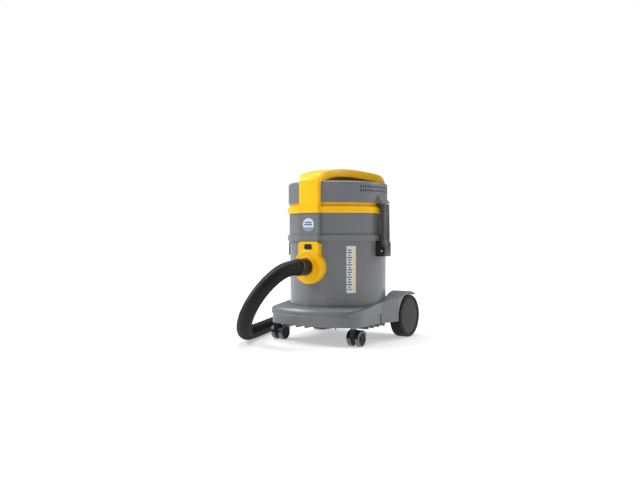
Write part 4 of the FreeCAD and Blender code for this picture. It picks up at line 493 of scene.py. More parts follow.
@dataclass(frozen=True)
class BadgeFilm:
    """Printed badge: a plain pale disc with two level bars, on a clear grey ground.

    bars holds each bar's height and half length; they and foot_top are shares of the radius.
    """

    name: str
    centre: tuple[float, float]
    ground: Colour
    radius: float = 0.0225
    pale: Colour = (0.62, 0.66, 0.70)
    ink: Colour = (0.045, 0.12, 0.34)
    foot: Colour = (0.22, 0.30, 0.42)
    foot_top: float = -0.38
    bars: tuple[tuple[float, float], ...] = ((0.34, 0.62), (0.02, 0.74))
    bar_half: float = 0.10
    roughness: float = 0.30
    smear_scale: float = 40.0
    smear_swing: float = 0.06

    def make(self) -> bpy.types.Material:
        """Build the material."""
        graph = Graph(self.name)
        across, _, height = graph.axes()
        x = (across - self.centre[0]) / self.radius
        z = (height - self.centre[1]) / self.radius
        disc = (x * x + z * z).root().below(1.0)
        upper, lower = ((z - at).size().below(self.bar_half) * x.size().below(half)
                        for at, half in self.bars)
        body = graph.mix(z.below(self.foot_top), self.pale, self.foot)
        body = graph.mix(upper.most(lower), body, self.ink)
        body = graph.mix(disc, self.ground, body)
        rough = graph.noise(self.smear_scale) * self.smear_swing + self.roughness
        graph.set(Base_Color=body, Roughness=rough)
        return graph.material


class Finish(Enum):
    """Every finish of the vacuum."""

    GREY = MouldedPlastic("grey_plastic", (0.163, 0.173, 0.185), roughness=0.33, mottle=0.035)
    GREY_BASE = MouldedPlastic("grey_base_plastic", (0.163, 0.173, 0.185), roughness=0.36,
                               mottle=0.04, dust_height=0.09)
    YELLOW = MouldedPlastic("yellow_plastic", (0.96, 0.525, 0.002), roughness=0.34, mottle=0.03,
                            sheen=0.3)
    BLACK = MouldedPlastic("black_plastic", (0.008, 0.008, 0.009), roughness=0.42, mottle=0.1,
                           sheen=0.3)
    LATCH = MouldedPlastic("latch_plastic", (0.052, 0.052, 0.051), roughness=0.36, mottle=0.08)
    HUB = MouldedPlastic("hub_plastic", (0.022, 0.022, 0.022), roughness=0.48, mottle=0.08,
                         sheen=0.3, dust_height=0.05)
    CASTER = MouldedPlastic("caster_plastic", (0.008, 0.008, 0.009), roughness=0.40, mottle=0.1,
                            sheen=0.35)
    NATURAL = MouldedPlastic("natural_plastic", (0.62, 0.62, 0.58), roughness=0.45)
    ROCKER = MouldedPlastic("rocker_plastic", (0.45, 0.015, 0.012), roughness=0.25)
    CARBON = MouldedPlastic("carbon", (0.03, 0.03, 0.032), roughness=0.6)
    CONNECTOR = MouldedPlastic("connector_plastic", (0.028, 0.022, 0.017), roughness=0.30,
                               mottle=0.15)
    CUFF = Rubber("cuff_rubber", (0.022, 0.022, 0.023), roughness=0.55)
    TYRE = Rubber("tyre_rubber", (0.011, 0.011, 0.012), bloom=0.06, sheen=0.28, scuff_height=0.02)
    TREAD = Rubber("tread_rubber", (0.20, 0.205, 0.205), roughness=0.55, scuff_height=0.01)
    HOSE = Rubber("hose_vinyl", (0.005, 0.005, 0.006), roughness=0.46, bloom=0.02, sheen=0.22)
    SEAL = Rubber("seal_rubber", (0.015, 0.015, 0.015), roughness=0.7)
    STEEL = Metal("zinc_steel", (0.60, 0.61, 0.63), roughness=0.30)
    AXLE = Metal("axle_steel", (0.60, 0.61, 0.63), roughness=0.26, marks=Axis.X)
    ALUMINIUM = Metal("pressed_aluminium", (0.72, 0.72, 0.74), roughness=0.36)
    WINDING = Winding("copper_winding")
    FELT = Felt("filter_felt", (0.72, 0.70, 0.62))


class Palette:
    """Makes each finish once and dresses objects with it."""

    def __init__(self) -> None:
        """Start with no materials made."""
        self._made: dict[Finish, bpy.types.Material] = {}

    def get(self, finish: Finish) -> bpy.types.Material:
        """The material of a finish."""
        if finish not in self._made:
            self._made[finish] = finish.value.make()
        return self._made[finish]

    def dress(self, piece: bpy.types.Object, finish: "Finish | bpy.types.Material") -> None:
        """Give the whole piece one material."""
        material = self.get(finish) if isinstance(finish, Finish) else finish
        slots = piece.material_slots
        if not slots:
            piece.data.materials.append(material)
        for slot in slots:
            slot.material = material


# ---------------------------------------------------------------------- modelling bench
class Bench:
    """Modelling by Blender's own operators, one object at a time."""

    @staticmethod
    def clear() -> None:
        """Leave edit mode and deselect everything."""
        if bpy.context.object and bpy.context.object.mode != "OBJECT":
            bpy.ops.object.mode_set(mode="OBJECT")
        bpy.ops.object.select_all(action="DESELECT")

    @classmethod
    def focus(cls, piece: bpy.types.Object) -> None:
        """Select one object alone and make it active."""
        cls.clear()
        piece.select_set(True)
        bpy.context.view_layer.objects.active = piece

    @classmethod
    @contextmanager
    def editing(cls, piece: bpy.types.Object) -> Iterator[None]:
        """Edit mode on one object, with nothing selected at first."""
        cls.focus(piece)
        bpy.ops.object.mode_set(mode="EDIT")
        bpy.ops.mesh.select_all(action="DESELECT")
        yield
        bpy.ops.object.mode_set(mode="OBJECT")

    @classmethod
    def _placed(cls, name: str) -> bpy.types.Object:
        """Name the new primitive and put its place into its mesh."""
        piece = bpy.context.object
        piece.name = name
        piece.data.name = name
        bpy.ops.object.transform_apply(location=True, rotation=True, scale=True)
        return piece

    @classmethod
    def box(cls, name: str, low: Point, high: Point) -> bpy.types.Object:
        """Block between two corners, ready to be shaped.

        Args:
            name: the piece's name.
            low: lowest corner.
            high: highest corner.

        Returns:
            The new object.
        """
        cls.clear()
        centre = tuple((a + b) / 2 for a, b in zip(low, high))
        bpy.ops.mesh.primitive_cube_add(size=1, location=centre)
        bpy.context.object.scale = tuple(b - a for a, b in zip(low, high))
        return cls._placed(name)

    @classmethod
    def lathe(cls, name: str, profile: Sequence[tuple[float, float]], centre: Point, axis: Axis,
              steps: int = 96) -> bpy.types.Object:
        """Turn a closed profile about an axis with the spin operator.

        Args:
            name: the piece's name.
            profile: (radius, distance along the axis) points of a closed outline.
            centre: a point on the axis; distances are measured from it.
            axis: the axis of turning.
            steps: faces round the piece.

        Returns:
            The new object.
        """
        along = Vector([float(axis.value == i) for i in range(3)])
        outward = Vector((1, 0, 0)) if axis is not Axis.X else Vector((0, 0, 1))
        points = [Vector(centre) + outward * r + along * t for r, t in profile]
        cls.clear()
        bpy.ops.mesh.primitive_plane_add(size=MM, location=points[0])
        piece = cls._placed(name)
        with cls.editing(piece):
            bpy.ops.mesh.select_all(action="SELECT")
            bpy.ops.mesh.merge(type="CENTER")
            for before, after in zip(points, points[1:] + points[:1]):
                bpy.ops.mesh.extrude_vertices_move(
                    TRANSFORM_OT_translate={"value": after - before})
            bpy.ops.mesh.select_all(action="SELECT")
            bpy.ops.mesh.remove_doubles(threshold=CLOSE)
            bpy.ops.mesh.select_all(action="SELECT")
            bpy.ops.mesh.spin(steps=steps, angle=TURN, center=centre, axis=along)
            bpy.ops.mesh.select_all(action="SELECT")
            bpy.ops.mesh.remove_doubles(threshold=2 * CLOSE)
            bpy.ops.mesh.select_all(action="SELECT")
            bpy.ops.mesh.normals_make_consistent(inside=False)
        return piece

    @staticmethod
    def pick_faces(piece: bpy.types.Object, test: Test) -> None:
        """Select, in edit mode, the faces whose centre and normal pass a test."""
        mesh = bmesh.from_edit_mesh(piece.data)
        bpy.ops.mesh.select_mode(type="FACE")
        for face in mesh.faces:
            face.select_set(bool(test(face.calc_center_median(), face.normal)))
        mesh.select_flush_mode()
        bmesh.update_edit_mesh(piece.data)

    @staticmethod
    def pick_edges(piece: bpy.types.Object, test: Test) -> None:
        """Select, in edit mode, the edges whose middle and direction pass a test."""
        mesh = bmesh.from_edit_mesh(piece.data)
        bpy.ops.mesh.select_mode(type="EDGE")
        for edge in mesh.edges:
            first, second = (vertex.co for vertex in edge.verts)
            edge.select_set(bool(test((first + second) / 2, (second - first).normalized())))
        bmesh.update_edit_mesh(piece.data)

    @staticmethod
    def slice_level(height: float) -> None:
        """Cut the whole mesh along a level plane."""
        bpy.ops.mesh.select_all(action="SELECT")
        bpy.ops.mesh.bisect(plane_co=(0, 0, height), plane_no=(0, 0, 1))

    @staticmethod
    def extrude(offset: Sequence[float]) -> None:
        """Extrude the selected faces by an offset."""
        bpy.ops.mesh.extrude_region_move(TRANSFORM_OT_translate={"value": tuple(offset)})

    @classmethod
    def modify(cls, piece: bpy.types.Object, kind: str, **settings: object) -> None:
        """Add a modifier, set it up and apply it."""
        cls.focus(piece)
        modifier = piece.modifiers.new(kind.lower(), kind)
        for key, setting in settings.items():
            setattr(modifier, key, setting)
        bpy.ops.object.modifier_apply(modifier=modifier.name)

    @classmethod
    def soften(cls, piece: bpy.types.Object, width: float, segments: int = 3,
               angle: float = 35.0) -> None:
        """Bevel every edge sharper than an angle, then smooth the shading."""
        cls.modify(piece, "BEVEL", width=width, segments=segments, limit_method="ANGLE",
                   angle_limit=math.radians(angle), harden_normals=False)
        cls.smooth(piece)

    @classmethod
    def smooth(cls, piece: bpy.types.Object, angle: float = 40.0) -> None:
        """Smooth shading, kept sharp over an angle."""
        cls.focus(piece)
        bpy.ops.object.shade_smooth_by_angle(angle=math.radians(angle))

    @staticmethod
    def mirrored(piece: bpy.types.Object, name: str) -> bpy.types.Object:
        """Copy a piece with its own mesh, mirrored in X, its normals still outward."""
        other = piece.copy()
        other.data = piece.data.copy()
        other.name = name
        bpy.context.scene.collection.objects.link(other)
        other.data.transform(MIRROR_X)
        other.data.flip_normals()
        return other

    @staticmethod
    def skin(name: str, rings: Sequence[Sequence[Point]], bag: bool = False) -> bpy.types.Object:
        """Skin over rings of equally many points, closed by a face over its ends.

        Args:
            name: the piece's name.
            rings: the points of each ring, in order along the piece.
            bag: whether the first ring stays open and the rings run down from that mouth.

        Returns:
            The new object.
        """
        mesh = bmesh.new()
        loops = [[mesh.verts.new(point) for point in ring] for ring in rings]
        for first, second in zip(loops, loops[1:]):
            for side, corner in enumerate(first):
                after = (side + 1) % len(first)
                face = (corner, first[after], second[after], second[side])
                mesh.faces.new(face[1::-1] + face[:1:-1] if bag else face)
        mesh.faces.new(loops[-1][::-1] if bag else loops[-1])
        if not bag:
            mesh.faces.new(loops[0][::-1])
        data = bpy.data.meshes.new(name)
        mesh.to_mesh(data)
        mesh.free()
        piece = bpy.data.objects.new(name, data)
        bpy.context.scene.collection.objects.link(piece)
        return piece


class Report:
    """Dresses finished pieces, rides them on their bodies, hides the nodes they replace and logs
    them.
    """

    def __init__(self, palette: Palette) -> None:
        """Keep the palette that pieces are dressed from."""
        self.palette = palette
        self.count = 0

    def add(self, piece: bpy.types.Object, body: str, finish: "Finish | bpy.types.Material",
            slot: str, replaces: Sequence[str] = ()) -> None:
        """Dress a new piece, ride it on a body and hide the nodes that it stands for.

        Args:
            piece: the finished object.
            body: the body it moves with.
            finish: its finish or material.
            slot: a material slot name; not used.
            replaces: nodes that it stands for.
        """
        self.palette.dress(piece, finish)
        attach(piece, body)
        if replaces:
            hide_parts(*replaces)
        self.count += 1
        LOG.info("piece %s on %s", piece.name, body)


def round_shoulder(radius: float, half: float, edge: float, steps: int) -> Outline:
    """Quarter round from a wheel's running face to its side, as (radius, along) points."""
    turns = [math.pi / 2 * step / steps for step in range(steps + 1)]
    return [(radius - edge + edge * math.cos(turn), half - edge + edge * math.sin(turn))
            for turn in turns]


# ------------------------------------------------------------------------------ studio
@dataclass(frozen=True)
class SoftBox:
    """Square soft light aimed at the middle of the vacuum."""

    name: str
    place: Point
    size: float
    power: float
    aim_height: float = 0.3

    def build(self) -> None:
        """Put the light in the scene."""
        light = bpy.data.lights.new(self.name, "AREA")
        light.size = self.size
        light.energy = self.power
        lamp = bpy.data.objects.new(self.name, light)
        lamp.location = self.place
        toward = Vector((0, 0, self.aim_height)) - Vector(self.place)
        lamp.rotation_euler = toward.to_track_quat("-Z", "Y").to_euler()
        bpy.context.scene.collection.objects.link(lamp)


@dataclass
class Studio:
    """Pale floor, white surroundings, three soft boxes and the camera."""

    lights: tuple[SoftBox, ...] = (
        SoftBox("key", (-2.4, -1.4, 2.3), 1.4, 96.0),
        SoftBox("side", (2.4, 1.9, 1.7), 1.1, 32.0),
        SoftBox("top", (-0.2, 0.3, 3.2), 2.4, 88.0),
    )
    azimuth: float = 33.0
    distance: float = 2.5
    eye_height: float = 0.36
    lens: float = 39.375
    aim_shift: tuple[float, float] = (-0.0281, -0.0047)
    floor_reach: float = 30.0
    floor_grey: float = 0.55
    floor_roughness: float = 0.8
    surround: float = 0.25
    # painted light: how strongly the floor glows near the vacuum, lifting its shadow, and the
    # distances over which the glow rises to full
    near_glow: float = 0.45
    fade: tuple[float, float] = (0.7, 1.7)

    def build(self) -> None:
        """Make the floor, the world, the lights and the camera."""
        bpy.context.scene.view_settings.view_transform = "Standard"
        self._floor()
        self._world()
        for light in self.lights:
            light.build()
        self._camera()

    def _floor(self) -> None:
        """Flat pale floor with a painted glow: its own emission brightens it with distance until it
        meets the background.
        """
        Bench.clear()
        bpy.ops.mesh.primitive_plane_add(size=2 * self.floor_reach)
        floor = bpy.context.object
        floor.name = "floor"
        graph = Graph("pale_floor")
        across, along, _ = graph.axes()
        # painted light: the floor's own emission, weaker near the vacuum where it lifts the cast
        # shadow, full white far away
        painted_glow = (across * across + along * along).root().span(*self.fade, self.near_glow, 1.0)
        graph.set(Base_Color=(*[self.floor_grey] * 3, 1.0), Roughness=self.floor_roughness,
                  Emission_Color=graph.mix(painted_glow, (0.0, 0.0, 0.0), (1.0, 1.0, 1.0)),
                  Emission_Strength=1.0)
        floor.data.materials.append(graph.material)

    def _world(self) -> None:
        """White background; the light from it is dimmer than what shows behind the object."""
        world = bpy.data.worlds.new("studio")
        world.use_nodes = True
        tree = world.node_tree
        soft = tree.nodes["Background"]
        soft.inputs["Color"].default_value = (1, 1, 1, 1)
        soft.inputs["Strength"].default_value = self.surround
        shown = tree.nodes.new("ShaderNodeBackground")
        shown.inputs["Color"].default_value = (1, 1, 1, 1)
        shown.inputs["Strength"].default_value = 1.0
        path = tree.nodes.new("ShaderNodeLightPath")
        mixed = tree.nodes.new("ShaderNodeMixShader")
        tree.links.new(path.outputs["Is Camera Ray"], mixed.inputs[0])
        tree.links.new(soft.outputs[0], mixed.inputs[1])
        tree.links.new(shown.outputs[0], mixed.inputs[2])
        tree.links.new(mixed.outputs[0], tree.nodes["World Output"].inputs["Surface"])
        bpy.context.scene.world = world

    def _camera(self) -> None:
        """Level camera aimed at the tank's axis."""
        low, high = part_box("tank")
        axis = (low + high) / 2
        turn = math.radians(self.azimuth)
        data = bpy.data.cameras.new("camera")
        data.lens = self.lens
        data.shift_x, data.shift_y = self.aim_shift
        camera = bpy.data.objects.new("camera", data)
        camera.location = (axis.x + self.distance * math.sin(turn),
                           axis.y - self.distance * math.cos(turn), self.eye_height)
        camera.rotation_euler = (math.pi / 2, 0, turn)
        bpy.context.scene.collection.objects.link(camera)
        bpy.context.scene.camera = camera


# -------------------------------------------------------------------------------- hose
@dataclass
class Connector:
    """Dark rigid sleeve with fine ribs and a plain band at the hose's end."""

    radius: float = 0.0285
    bore: float = 0.021
    plug_radius: float = 0.0269
    collar_gap: float = 0.0003
    band: float = 0.014
    band_edge: float = 0.0015
    neck: float = 0.004
    chamfer: float = 0.0006
    ribs: int = 13
    rib_depth: float = 0.0014
    crest_drop: float = 0.0002
    crest_span: tuple[float, float] = (0.45, 0.85)
    groove_end: float = 0.30

    def make(self) -> bpy.types.Object:
        """Turn the sleeve between the hose and the inlet's collar, with its plug behind."""
        low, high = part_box("hose_connector")
        middle = (low + high) / 2
        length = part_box("inlet_housing")[0].y - self.collar_gap - low.y
        end = high.y - low.y
        r, band, edge, bore = self.radius, self.band, self.band_edge, self.bore
        groove, crest, rim = r - self.rib_depth, r - self.crest_drop, r - 2 * self.crest_drop
        profile = [(bore, 0.0), (r - edge, 0.0), (r, edge), (r, band - MM),
                   (r - 2 * self.chamfer, band)]
        pitch = (length - band - self.neck) / self.ribs
        for rib in range(self.ribs):
            at = band + pitch * rib
            profile += [(groove, at + pitch * self.groove_end)]
            profile += [(crest, at + pitch * share) for share in self.crest_span]
            profile += [(groove, at + pitch)]
        profile += [(rim, length - self.neck + MM), (rim, length - self.chamfer),
                    (rim - self.chamfer, length), (self.plug_radius, length),
                    (self.plug_radius, end), (bore, end)]
        piece = Bench.lathe("connector_sleeve", profile, (middle.x, low.y, middle.z), Axis.Y,
                            steps=72)
        Bench.smooth(piece, angle=30.0)
        return piece


@dataclass
class Cuff:
    """Soft end cuff: tapered nose, grip grooves, flared mouth and open bore."""

    radius: float = 0.0277
    length: float = 0.088
    bore: float = 0.019
    bore_step: float = 0.002
    socket: float = 0.055
    nose: tuple[float, float] = (0.0025, 0.002)
    skin_drop: float = 0.0004
    grooves: int = 5
    first_groove: float = 0.010
    groove_pitch: float = 0.0075
    groove_width: float = 0.004
    groove_depth: float = 0.0018
    mouth: float = 0.013
    mouth_flare: float = 0.003
    mouth_edge: float = 0.0012

    def make(self, start: Vector, ahead: Vector) -> bpy.types.Object:
        """Turn the cuff and set it on the hose's end, pointing ahead."""
        r, bore, end, edge = self.radius, self.bore, self.length, self.mouth_edge
        skin = r - self.skin_drop
        floor = skin - self.groove_depth
        profile = [(bore - self.bore_step, 0.0), (r - self.nose[0], 0.0),
                   (skin - self.skin_drop, self.nose[1])]
        for groove in range(self.grooves):
            at = self.first_groove + self.groove_pitch * groove
            close = at + self.groove_width
            profile += [(skin, at), (floor, at + MM), (floor, close - MM), (skin, close)]
        profile += [(r - MM, end - self.mouth - self.mouth_flare), (r, end - self.mouth),
                    (r, end - 2 * MM), (r - edge, end), (bore + edge, end),
                    (bore, end - 1.5 * MM), (bore, end - self.socket),
                    (bore - self.bore_step, end - self.socket)]
        piece = Bench.lathe("end_cuff", profile, (0, 0, 0), Axis.Z, steps=72)
        turn = ahead.to_track_quat("Z", "Y").to_matrix().to_4x4()
        piece.data.transform(Matrix.Translation(start) @ turn)
        Bench.smooth(piece, angle=30.0)
        return piece


@dataclass
class Hose:
    """Corrugated hose on its route, with the ribbed connector and the end cuff."""

    route: tuple[Point, ...] = (
        (0, -0.2605, 0.260), (0, -0.314, 0.260), (-0.021, -0.366, 0.228),
        (-0.060, -0.393, 0.174), (-0.107, -0.387, 0.114), (-0.156, -0.347, 0.061),
        (-0.203, -0.280, 0.031), (-0.239, -0.199, 0.0255), (-0.272, -0.108, 0.0255),
        (-0.314, -0.004, 0.0255), (-0.356, 0.112, 0.0255), (-0.402, 0.226, 0.0255),
        (-0.441, 0.347, 0.0255), (-0.432, 0.477, 0.0255), (-0.371, 0.592, 0.0255),
        (-0.270, 0.674, 0.0283), (-0.186, 0.706, 0.0283),
    )
    radius: float = 0.025
    rib_pitch: float = 0.0062
    rib_depth: float = 0.0015
    rib_flatness: float = 0.6
    rib_rings: int = 5
    sides: int = 32
    line_steps: int = 16

    def centre_line(self) -> list[Vector]:
        """Points of the smooth line that the route's spline gives."""
        curve = bpy.data.curves.new("hose_route", "CURVE")
        curve.dimensions = "3D"
        spline = curve.splines.new("NURBS")
        spline.points.add(len(self.route) - 1)
        for point, place in zip(spline.points, self.route):
            point.co = (*place, 1.0)
        spline.order_u = 3
        spline.use_endpoint_u = True
        curve.resolution_u = self.line_steps
        carrier = bpy.data.objects.new("hose_route", curve)
        bpy.context.scene.collection.objects.link(carrier)
        line = [vertex.co.copy() for vertex in bpy.data.meshes.new_from_object(carrier).vertices]
        bpy.data.objects.remove(carrier, do_unlink=True)
        return line

    @staticmethod
    def evenly(line: Sequence[Vector], step: float) -> list[Vector]:
        """Points a step apart along a line, ends included."""
        lengths = [0.0]
        for before, after in zip(line, line[1:]):
            lengths.append(lengths[-1] + (after - before).length)
        count = round(lengths[-1] / step)
        points = []
        place = 0
        for index in range(count + 1):
            wanted = lengths[-1] * index / count
            while place < len(line) - 2 and lengths[place + 1] < wanted:
                place += 1
            share = (wanted - lengths[place]) / max(lengths[place + 1] - lengths[place], TINY)
            points.append(line[place].lerp(line[place + 1], share))
        return points

    def shell(self, line: Sequence[Vector]) -> bpy.types.Object:
        """Ribbed tube round a line of evenly spaced points."""
        across = (line[1] - line[0]).normalized().orthogonal().normalized()
        rings = []
        for index, point in enumerate(line):
            nearer = line[max(index - 1, 0)]
            further = line[min(index + 1, len(line) - 1)]
            along = (further - nearer).normalized()
            across = (across - along * across.dot(along)).normalized()
            other = along.cross(across)
            crest = 0.5 + 0.5 * math.cos(TURN * index / self.rib_rings)
            size = self.radius - self.rib_depth * (1 - crest ** self.rib_flatness)
            turns = [TURN * side / self.sides for side in range(self.sides)]
            rings.append([point + (across * math.cos(turn) + other * math.sin(turn)) * size
                          for turn in turns])
        piece = Bench.skin("hose", rings)
        Bench.smooth(piece, angle=80.0)
        return piece

    def build(self, report: Report) -> None:
        smooth = self.centre_line()
        line = self.evenly(smooth, self.rib_pitch / self.rib_rings)
        hose = self.shell(line)
        report.add(hose, "vacuum_body", Finish.HOSE, "hose_vinyl", ["hose_tube"])
        connector = Connector().make()
        report.add(connector, "vacuum_body", Finish.CONNECTOR, "black_plastic",
                   ["hose_connector"])
        ahead = Vector(self.route[-1]) - Vector(self.route[-2])
        cuff = Cuff().make(line[-1], ahead.normalized())
        report.add(cuff, "vacuum_body", Finish.CUFF, "black_plastic", ["hose_end_cuff"])
        length = sum((after - before).length for before, after in zip(line, line[1:]))


# ------------------------------------------------------------------------- rear wheels
@dataclass
class RearWheels:
    """Two large wheels: treaded tyre, cap with a rim ring and a plug, and the hub behind."""

    tyre_wall: float = 0.010
    tyre_edge: float = 0.0045
    side_line: tuple[tuple[float, float], ...] = (
        (0.0035, 0.0), (0.0038, 0.0006), (0.0044, 0.0006), (0.0047, 0.0))
    grooves: tuple[float, ...] = (-0.012, 0.0, 0.012)
    groove_mouth: float = 0.0016
    groove_floor: float = 0.0010
    groove_depth: float = 0.0012
    cap_rim: float = 0.0045
    cap_wall: float = 0.0024
    cap_dish: float = 0.0010
    cap_edge: float = 0.0012
    skirt_inset: float = 0.006
    skirt_wall: float = 0.0022
    plug_radius: float = 0.0036
    plug_depth: float = 0.0018
    plug_edge: float = 0.0006
    plug_dish: float = 0.0004
    plug_offset: tuple[float, float] = (0.019, -0.004)

    def tyre(self, side: Side) -> bpy.types.Object:
        """Ring with rounded shoulders, a line round each side and shallow grooves round it."""
        low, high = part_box(f"rear_tyre_{side.word}")
        r = (high.z - low.z) / 2
        half = (high.x - low.x) / 2
        inner = r - self.tyre_wall
        shoulder = round_shoulder(r, half, self.tyre_edge, 4)
        side_line = [(inner, half)] + [(inner + out, half - deep) for out, deep in self.side_line]
        profile = [(radius, -at) for radius, at in side_line + shoulder[::-1]]
        for at in self.grooves:
            profile += [(r, at - self.groove_mouth),
                        (r - self.groove_depth, at - self.groove_floor),
                        (r - self.groove_depth, at + self.groove_floor),
                        (r, at + self.groove_mouth)]
        profile += shoulder + side_line[::-1]
        return Bench.lathe(f"tyre_{side.word}", profile, tuple((low + high) / 2), Axis.X,
                           steps=128)

    @staticmethod
    def cap_face(side: Side) -> tuple[Vector, float, float]:
        """Middle of a cap's outer face, with the cap's radius and its depth."""
        low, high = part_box(f"rear_cap_{side.word}")
        face = (low + high) / 2
        face.x = high.x if side is Side.RIGHT else low.x
        return face, (high.z - low.z) / 2, high.x - low.x

    def cap(self, side: Side) -> bpy.types.Object:
        """Shallow dished disc with a raised rim ring and a skirt that fits the hub."""
        face, r, depth = self.cap_face(side)
        dish, edge, wall = self.cap_dish, self.cap_edge, self.cap_wall
        ring = r - self.cap_rim
        outer, inner = r - self.skirt_inset, r - self.skirt_inset - self.skirt_wall
        profile = [(0.0, -0.4 * dish), (0.55 * r, -0.5 * dish), (ring - 2.5 * edge, -0.9 * dish),
                   (ring - edge, -dish), (ring - edge / 3, -0.2 * dish), (ring + edge / 3, 0.0),
                   (r - edge, 0.0), (r, -dish), (r, -wall), (outer, -wall), (outer, -depth),
                   (inner, -depth), (inner, -wall), (0.0, -wall)]
        placed = [(radius, at * side.value) for radius, at in profile]
        return Bench.lathe(f"wheel_cap_{side.word}", placed, tuple(face), Axis.X, steps=128)

    def plug(self, side: Side) -> bpy.types.Object:
        """Small dark plug pressed into the cap beside its centre."""
        centre = self.cap_face(side)[0] + Vector((0, *self.plug_offset))
        r, dish = self.plug_radius, self.plug_dish
        profile = [(0.0, -self.plug_depth), (r, -self.plug_depth), (r, -dish),
                   (r - self.plug_edge, 0.0), (r / 2, -0.75 * dish), (0.0, -dish)]
        placed = [(radius, at * side.value) for radius, at in profile]
        return Bench.lathe(f"cap_plug_{side.word}", placed, tuple(centre), Axis.X, steps=40)

    def build(self, report: Report) -> None:
        """Make both wheels' tyres, caps and plugs; the hubs keep their CAD shape."""
        for side in Side:
            body = f"rear_wheel_{side.word}"
            for make, finish, slot, node in (
                    (self.tyre, Finish.TYRE, "tyre_rubber", "rear_tyre"),
                    (self.cap, Finish.HUB, "black_plastic", "rear_cap")):
                piece = make(side)
                Bench.smooth(piece, angle=28.0)
                report.add(piece, body, finish, slot, [f"{node}_{side.word}"])
            plug = self.plug(side)
            Bench.smooth(plug, angle=28.0)
            report.add(plug, body, Finish.BLACK, "black_plastic")


# ----------------------------------------------------------------------------- casters
@dataclass
class Casters:
    """Twin-wheel casters: dished hubs with pale bonded treads."""

    tread: float = 0.0040
    tread_edge: float = 0.0018
    bond: float = 0.0003
    face_inset: float = 0.0008
    rim_edge: float = 0.0006
    rim_width: float = 0.0015
    dish: float = 0.0022
    rim_foot: float = 0.0018
    boss_radius: float = 0.0085
    boss_edge: float = 0.0002
    pin_radius: float = 0.0060
    pin_edge: float = 0.0008
    pin_sink: float = 0.0012

    def wheel(self, node: str, outward: int) -> tuple[bpy.types.Object, bpy.types.Object]:
        """Hub and tread of one wheel.

        Args:
            node: the wheel's CAD node.
            outward: the sign of X on its open face.

        Returns:
            The hub and the tread.
        """
        low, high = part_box(node)
        middle = tuple((low + high) / 2)
        r = (high.z - low.z) / 2
        half = (high.x - low.x) / 2
        seat = r - self.tread - self.bond
        face = half - self.face_inset
        crest = seat - self.rim_edge
        hollow = crest - self.rim_width
        hub_profile = [
            (0.0, -half), (seat, -half), (seat, face - self.rim_edge), (crest, face),
            (hollow, face), (hollow - MM, face - self.rim_foot),
            (self.boss_radius + MM, face - self.dish), (self.boss_radius, face - self.boss_edge),
            (self.pin_radius, face), (self.pin_radius - self.pin_edge, face - self.pin_sink),
            (0.0, face - self.pin_sink)]
        shoulder = round_shoulder(r, half, self.tread_edge, 3)
        tread_profile = [(seat, -half)] + [(radius, -at) for radius, at in reversed(shoulder)]
        tread_profile += shoulder + [(seat, half)]
        hub = Bench.lathe(f"{node}_hub", [(radius, at * outward) for radius, at in hub_profile],
                          middle, Axis.X, steps=60)
        tread = Bench.lathe(f"{node}_tread",
                            [(radius, at * outward) for radius, at in tread_profile],
                            middle, Axis.X, steps=72)
        return hub, tread

    def build(self, report: Report) -> None:
        """Make the four wheels."""
        for side in Side:
            for place in ("inner", "outer"):
                node = f"caster_wheel_{side.word}_{place}"
                outward = side.value if place == "outer" else -side.value
                hub, tread = self.wheel(node, outward)
                Bench.smooth(hub, angle=30.0)
                Bench.smooth(tread, angle=35.0)
                report.add(hub, node, Finish.CASTER, "caster_wheel", [node])
                report.add(tread, node, Finish.TREAD, "caster_wheel", [node])


# ----------------------------------------------------------------------------- latches
@dataclass
class Latches:
    """Two black over-centre levers: tapered arm with a sunk panel, foot and hook."""

    pivot_height: float = 0.018
    pivot_depth: float = 0.006
    heel_shares: tuple[float, ...] = (0.0, 0.5, 0.8, 0.95, 1.0)
    foot_height: float = 0.044
    foot_proud: float = 0.004
    shoulder: float = 0.008
    arm_taper: float = 0.002
    head_height: float = 0.024
    hook_height: float = 0.009
    hook_reach: float = 0.014
    edge: float = 0.0022
    panel_margin: float = 0.0075
    panel_edge: float = 0.0012
    panel_depth: float = 0.0022

    def lever(self) -> bpy.types.Object:
        """The right-hand lever, drawn as one block and shaped by its faces."""
        low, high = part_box("latch_lever_right")
        back_x = low.x + self.hook_reach
        foot_z, pivot_z = low.z + self.foot_height, low.z + self.pivot_height
        arm_z = foot_z + self.shoulder - MM
        head_z, hook_z = high.z - self.head_height, high.z - self.hook_height
        piece = Bench.box("latch_lever", (back_x, low.y, low.z), tuple(high))
        with Bench.editing(piece):
            heel = [pivot_z - self.pivot_depth * share for share in self.heel_shares]
            for height in (foot_z, foot_z + self.shoulder, head_z, hook_z, *heel):
                Bench.slice_level(height)
            mesh = bmesh.from_edit_mesh(piece.data)
            for vertex in mesh.verts:
                at = vertex.co
                if at.x > high.x - TOUCH and at.z > arm_z:
                    taper = self.arm_taper * (at.z - arm_z) / (high.z - arm_z)
                    at.x = high.x - self.foot_proud - taper
                elif at.x < back_x + TOUCH and at.z < pivot_z:
                    drop = min(pivot_z - at.z, self.pivot_depth)
                    at.x += self.pivot_depth - math.sqrt(self.pivot_depth ** 2 - drop ** 2)
            bmesh.update_edit_mesh(piece.data)
            Bench.pick_faces(piece, lambda at, way: way.x < -FACING and at.z > hook_z)
            Bench.extrude((-self.hook_reach, 0, 0))
            Bench.pick_faces(piece, lambda at, way: way.x > FACING and arm_z + MM < at.z < head_z)
            bpy.ops.mesh.inset(thickness=self.panel_margin, depth=0)
            bpy.ops.mesh.inset(thickness=self.panel_edge, depth=-self.panel_depth)
        Bench.soften(piece, self.edge, angle=30.0)
        return piece

    def build(self, report: Report) -> None:
        """Make both levers."""
        right = self.lever()
        left = Bench.mirrored(right, "latch_lever_left_shape")
        right.name = "latch_lever_right_shape"
        for piece, side in ((right, Side.RIGHT), (left, Side.LEFT)):
            report.add(piece, f"latch_{side.word}", Finish.LATCH, "black_plastic",
                       [f"latch_lever_{side.word}"])


